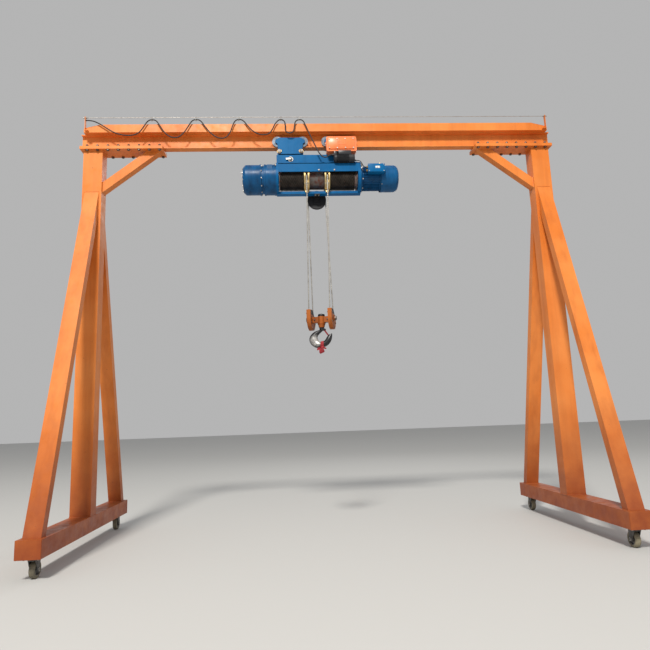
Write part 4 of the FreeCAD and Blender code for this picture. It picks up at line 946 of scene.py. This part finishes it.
def wire_rope(name, colour, grease, grease_share, rough):
    """Galvanised strands, greasy and dirty in patches."""
    material, tree, shader, place = patchy(name, colour, grease, 14.0, 7.0,
                                           (0.35, 0.65, grease_share - 0.25, grease_share + 0.25), 0.7)
    uneven_gloss(tree, shader, place, 30.0, 4.0, rough - 0.1, rough + 0.15)
    roughen(tree, shader, noise(tree, place, 900.0, 2.0), 0.0003, 0.5)
    return material


def strands(bm, line, twist):
    """A laid rope of six strands, which turn by twist from each point to the next."""
    tube_along(bm, line, rope_radius, twist=twist, valley=0.80)


# The wound rope's dark colour is grease and painted shade.
shaded_drum_rope = wire_rope("drum_rope", (0.085, 0.070, 0.056), (0.022, 0.018, 0.015), 0.70, 0.42)
for (start, end), name in zip(coils, ("left", "right")):
    bm = bmesh.new()
    turns = int((end - start - 2 * rope_radius) / lay)
    steps = 44
    line = []
    for i in range(turns * steps + 1):
        turn = 2 * math.pi * i / steps
        line.append(Vector((start + rope_radius + lay * i / steps, -coil_radius * math.cos(turn),
                            axis_height - coil_radius * math.sin(turn))))
    strands(bm, line, math.radians(24))
    make_piece(f"{name}_wound_rope", bm, "drum", "wire_rope", shaded_drum_rope, smooth=70)

guide_places = (-0.193, 0.053)
brass = steel("cast_brass", (0.66, 0.50, 0.24), (0.24, 0.17, 0.09), 0.40, 0.45)
finish_nodes(brass, "rope_guides")
guide_half = 0.031
guide_radius = 0.157
bm = bmesh.new()
for x in guide_places:
    for edge in (-1, 1):
        turned(bm, [(-0.004, guide_radius - 0.001), (-0.004, guide_radius + 0.002),
                    (0.004, guide_radius + 0.002), (0.004, guide_radius - 0.001)],
               (x + edge * (guide_half - 0.005), 0, axis_height), 72, closed=True)
    for side in (-1, 1):
        plate_on(bm, (x, side * 0.060, 3.958), (0.040, 0.020, 0.012), 0.002)
make_piece("guide_rims", bm, "hoist", "guide_brass", brass, smooth=35)
bm = bmesh.new()
for x in guide_places:
    for height in (0.10, -0.10):
        y = -math.sqrt((guide_radius + 0.001) ** 2 - height ** 2)
        outward = Vector((0, y, height)).normalized()
        for edge in (-0.018, 0.018):
            tighten(bm, cover_bolt, (x + edge, y, axis_height + height), outward)
make_piece("guide_bolts", bm, "hoist", "zinc_steel", zinc)


# ---------- hoist rope
# One steel wire rope of six strands: two falls from the drum, round the block's two sheaves
# and up to the equaliser sheave, over which it can shift to share the load.
block_turn = 15.0
bright_rope = wire_rope("hanging_rope", (0.52, 0.51, 0.48), (0.15, 0.13, 0.11), 0.35, 0.40)


def fall_ends(low, high, side, front):
    """The two ends of one straight fall: its foot on the turned block and its head on the hoist."""
    turn = math.radians(-block_turn)
    x = side * 0.123
    y = front * block_rope
    along = rope_x + x * math.cos(turn) - y * math.sin(turn)
    return Vector((along, x * math.sin(turn) + y * math.cos(turn), low)), Vector(high)


rope_x = -0.070
rope_spread = 0.123
block_rope = 0.1098
sheave_height = 2.420
equaliser_place = Vector((rope_x, 0.104, 3.916))
equaliser_rope = 0.1058
drum_exit = 0.1428
pitch = 0.009
strand_twist = math.radians(21)
for side, name in ((-1, "left"), (1, "right")):
    for front, kind, head in ((-1, "drum", (rope_x + side * rope_spread, -drum_exit, axis_height)),
                              (1, "equaliser", equaliser_place + Vector((side * equaliser_rope, 0, 0)))):
        foot, head = fall_ends(sheave_height, head, side, front)
        count = round((head - foot).length / pitch)
        bm = bmesh.new()
        strands(bm, [foot.lerp(head, i / count) for i in range(count + 1)], strand_twist)
        piece = make_piece(f"{name}_{kind}_fall", bm, None, "wire_rope", bright_rope, smooth=70)
        if side < 0:
            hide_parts(f"{kind}_falls")
        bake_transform(piece)

bm = bmesh.new()
arc = [equaliser_place + equaliser_rope * Vector((-math.cos(math.pi * i / 36), 0, math.sin(math.pi * i / 36)))
       for i in range(37)]
strands(bm, arc, strand_twist)
piece = make_piece("rope_over_equaliser", bm, "hoist", "wire_rope", bright_rope, smooth=70)
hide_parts("equaliser_rope")

block_turned = Matrix.Translation((rope_x, 0, 0)) @ Matrix.Rotation(math.radians(-block_turn), 4, "Z")
bm = bmesh.new()
for side in (-1, 1):
    arc = [block_turned @ Vector((side * rope_spread, -block_rope * math.cos(math.pi * i / 38),
                                  sheave_height - block_rope * math.sin(math.pi * i / 38)))
           for i in range(39)]
    strands(bm, arc, strand_twist)
piece = make_piece("rope_under_sheaves", bm, "hook_block", "wire_rope", bright_rope, smooth=70)
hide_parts("hook_block_rope")


# ---------- equaliser sheave
# A cast sheave, black with grease, on a bent strap bolted under the bottom tie bar. The
# rope shifts over it, so that both sides carry the same load.
sheave_black = steel("sheave_iron", (0.014, 0.014, 0.018), (0.010, 0.009, 0.009), 0.46, 0.6, metallic=0.4)
finish_nodes(sheave_black, "equaliser_sheave", "equaliser_hanger")
low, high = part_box("equaliser_hanger")
bm = bmesh.new()
set_copy(bm, hexagon_mesh(0.040, 0.009, 0.0), (rope_x, high[1] - 0.001, equaliser_place.z), (0, 1, 0))
for x in (-0.020, 0.020):
    set_copy(bm, hexagon_mesh(0.016, 0.008, 0.002), (rope_x + x, -0.022, 3.933), (0, 0, -1))
make_piece("equaliser_bolts", bm, "hoist", "zinc_steel", zinc)


# ---------- hook block
# Two sheaves in welded covers on a forged crosshead, all in weathered orange-brown enamel.
# The forged hook is painted black and worn bright in the bowl, a pale patch that is also a painted highlight;
# its latch is dark red.
block_enamel = enamel("block_enamel", (0.30, 0.068, 0.012), (0.44, 0.135, 0.022), (0.05, 0.016, 0.009),
                      (0.06, 0.028, 0.018), gloss=0.42, floor_shade_and_grime=0.0, streaks=0.8)
finish_nodes(block_enamel, "sheave_covers", "crosshead")
finish_nodes(sheave_black, "left_hook_sheave", "right_hook_sheave")


bowl = (-0.150, -0.035, 2.165)


def forged_hook():
    """Black paint worn off the bowl by slings to pale bare steel; the pale patch is also a painted highlight.
    """
    material, tree, shader, place = new_material("hook_paint")
    offset = tree.nodes.new("ShaderNodeVectorMath")
    offset.operation = "DISTANCE"
    tree.links.new(place, offset.inputs[0])
    offset.inputs[1].default_value = bowl
    near = ramp(tree, offset.outputs["Value"], 0.085, 0.035)
    patch_breakup = ramp(tree, noise(tree, place, 30.0, 6.0), 0.38, 0.60)
    # The pale patch: worn bare steel and a painted highlight.
    worn_and_highlight = times(tree, near, ramp(tree, patch_breakup, 0, 1, 0.35, 1.0))
    scuffs = ramp(tree, noise(tree, place, 60.0, 8.0, 0.7), 0.66, 0.72, 0, 0.35)
    colour = mix(tree, worn_and_highlight, (0.008, 0.008, 0.011), (0.60, 0.59, 0.57))
    tree.links.new(mix(tree, scuffs, colour, (0.20, 0.17, 0.15)), shader.inputs["Base Color"])
    tree.links.new(ramp(tree, worn_and_highlight, 0, 1, 0.0, 0.6), shader.inputs["Metallic"])
    shader.inputs["Roughness"].default_value = 0.36
    roughen(tree, shader, noise(tree, place, 120.0, 3.0), 0.0006, 0.5)
    return material


finish_nodes(forged_hook(), "hook")
latch_red = enamel("latch_enamel", (0.17, 0.012, 0.02), (0.24, 0.025, 0.03), (0.08, 0.006, 0.01),
                   (0.20, 0.16, 0.14), gloss=0.42, floor_shade_and_grime=0.0)
finish_nodes(latch_red, "hook_latch")

cheek_out = 0.023
pin_nut = hexagon_mesh(0.046, 0.014, 0.004)
bm = bmesh.new()
bolts = bmesh.new()
for side in (-1, 1):
    for face in (-1, 1):
        middle = Vector((side * rope_spread + face * cheek_out, 0, sheave_height))
        way = (face, 0, 0)
        if side == face:
            turned(bm, [(0, 0), (0, 0.046), (0.004, 0.044), (0.006, 0.030), (0.006, 0)], middle, 32, way)
            set_copy(bolts, pin_nut, middle + Vector((face * 0.014, 0, 0)), way, 0.2)
        for y, z in ((-0.095, -0.045), (0.095, -0.045), (0.0, -0.105), (-0.108, 0.060), (0.100, 0.035)):
            tighten(bolts, cover_bolt, middle + Vector((0, y, z)), way)
    for way in (-1, 1):
        spot = Vector((side * 0.076, way * 0.031, sheave_height - 0.009))
        tighten(bolts, small_bolt, spot, (0, way, 0))
for side in (-1, 1):
    weld(bm, standing(side * (rope_spread - cheek_out - 0.001), 0.031, sheave_height - 0.042,
                      sheave_height + 0.024), True, bead=0.004)
bmesh.ops.transform(bm, matrix=block_turned, verts=bm.verts)
bmesh.ops.transform(bolts, matrix=block_turned, verts=bolts.verts)
make_piece("block_welds", bm, "hook_block", "frame_paint", block_enamel)
make_piece("block_bolts", bolts, "hook_block", "zinc_steel", dark_bolt_steel)


# ---------- signal cloth
# A strip of red cotton knotted round the bottom of the hook, so that the load's height can be
# seen from the ground. It lies on the steel in folds, and its torn ends hang.
def cotton():
    material, tree, shader, place = patchy("red_cotton", (0.24, 0.008, 0.016), (0.40, 0.026, 0.036),
                                           22.0, 6.0, (0.35, 0.7))
    shader.inputs["Roughness"].default_value = 0.92
    shader.inputs["Sheen Weight"].default_value = 0.25
    roughen(tree, shader, noise(tree, stretched(tree, place, 1, 1, 0.4), 1500.0, 2.0), 0.0004, 0.6)
    return material


def strip(bm, line, across, widths, fold, folds, along=40, over=14):
    """Cloth along a line, as wide as widths say; fold is how far its lengthwise folds stand out."""
    made = bmesh.ops.create_grid(bm, x_segments=along, y_segments=over, size=1)["verts"]
    for corner in made:
        share = (corner.co.x + 1) / 2 * (len(line) - 1)
        first = min(int(share), len(line) - 2)
        part = share - first
        side = corner.co.y
        heading = (line[first + 1] - line[first]).normalized()
        wide = (across - heading * across.dot(heading)).normalized()
        width = widths[first] + (widths[first + 1] - widths[first]) * part
        place = line[first].lerp(line[first + 1], part) + wide * (side * width / 2)
        wave = math.cos(side * folds * math.pi + share * 0.5) + 0.4 * math.cos(side * 9 + share * 1.3)
        corner.co = block_turned @ (place + heading.cross(wide) * fold * wave)
    return made


red_cotton = cotton()
hook_mesh = nodes["hook"].data
hook_skin = BVHTree.FromPolygons([v.co for v in hook_mesh.vertices],
                                 [p.vertices for p in hook_mesh.polygons])
bm = bmesh.new()
band = [Vector((0.006, -0.052 * math.sin(math.radians(a)), 2.122 - 0.048 * math.cos(math.radians(a))))
        for a in range(30, 411, 10)]
band_widths = [0.052 - 0.030 * math.sin(math.pi * i / (len(band) - 1)) for i in range(len(band))]
for corner in strip(bm, band, Vector((1, 0, 0)), band_widths, 0.0018, 4, along=110, over=20):
    spot, outward, _, away = hook_skin.find_nearest(corner.co)
    corner.co = spot + outward * max(0.0012, (away - 0.012) * 0.8 + 0.003)
knot = Vector((0.008, -0.034, 2.084))
wrap = [knot + Vector((0.0, 0.012 * math.sin(math.radians(a)), 0.013 * math.cos(math.radians(a))))
        for a in range(0, 391, 30)]
strip(bm, wrap, Vector((1, 0, 0.2)), [0.030] * len(wrap), 0.0014, 3, along=48, over=12)
tails = (
    ([(0, 0, 0), (-0.022, -0.010, -0.004), (-0.044, -0.012, -0.014), (-0.062, -0.006, -0.024)],
     (0.1, 0.35, 1), [0.014, 0.026, 0.036, 0.022], 0.0030),
    ([(0, 0, 0), (0.014, -0.008, -0.003), (0.030, -0.008, -0.010), (0.044, -0.002, -0.018)],
     (0.2, 0.5, 1), [0.012, 0.018, 0.022, 0.012], 0.0022),
    ([(0, 0, 0), (-0.003, -0.012, -0.016), (-0.008, -0.012, -0.036), (-0.006, -0.006, -0.052),
      (-0.002, 0.004, -0.062)], (1, 0.15, 0.25), [0.018, 0.042, 0.058, 0.062, 0.050], 0.0036))
for line, across, widths, fold in tails:
    strip(bm, [knot + Vector(place) for place in line], Vector(across), widths, fold, 3)
bmesh.ops.solidify(bm, geom=bm.faces[:], thickness=0.0008)
cloth = make_piece("signal_cloth", bm, "hook_body", "red_cloth", red_cotton, smooth=60)
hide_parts("signal_ribbon")
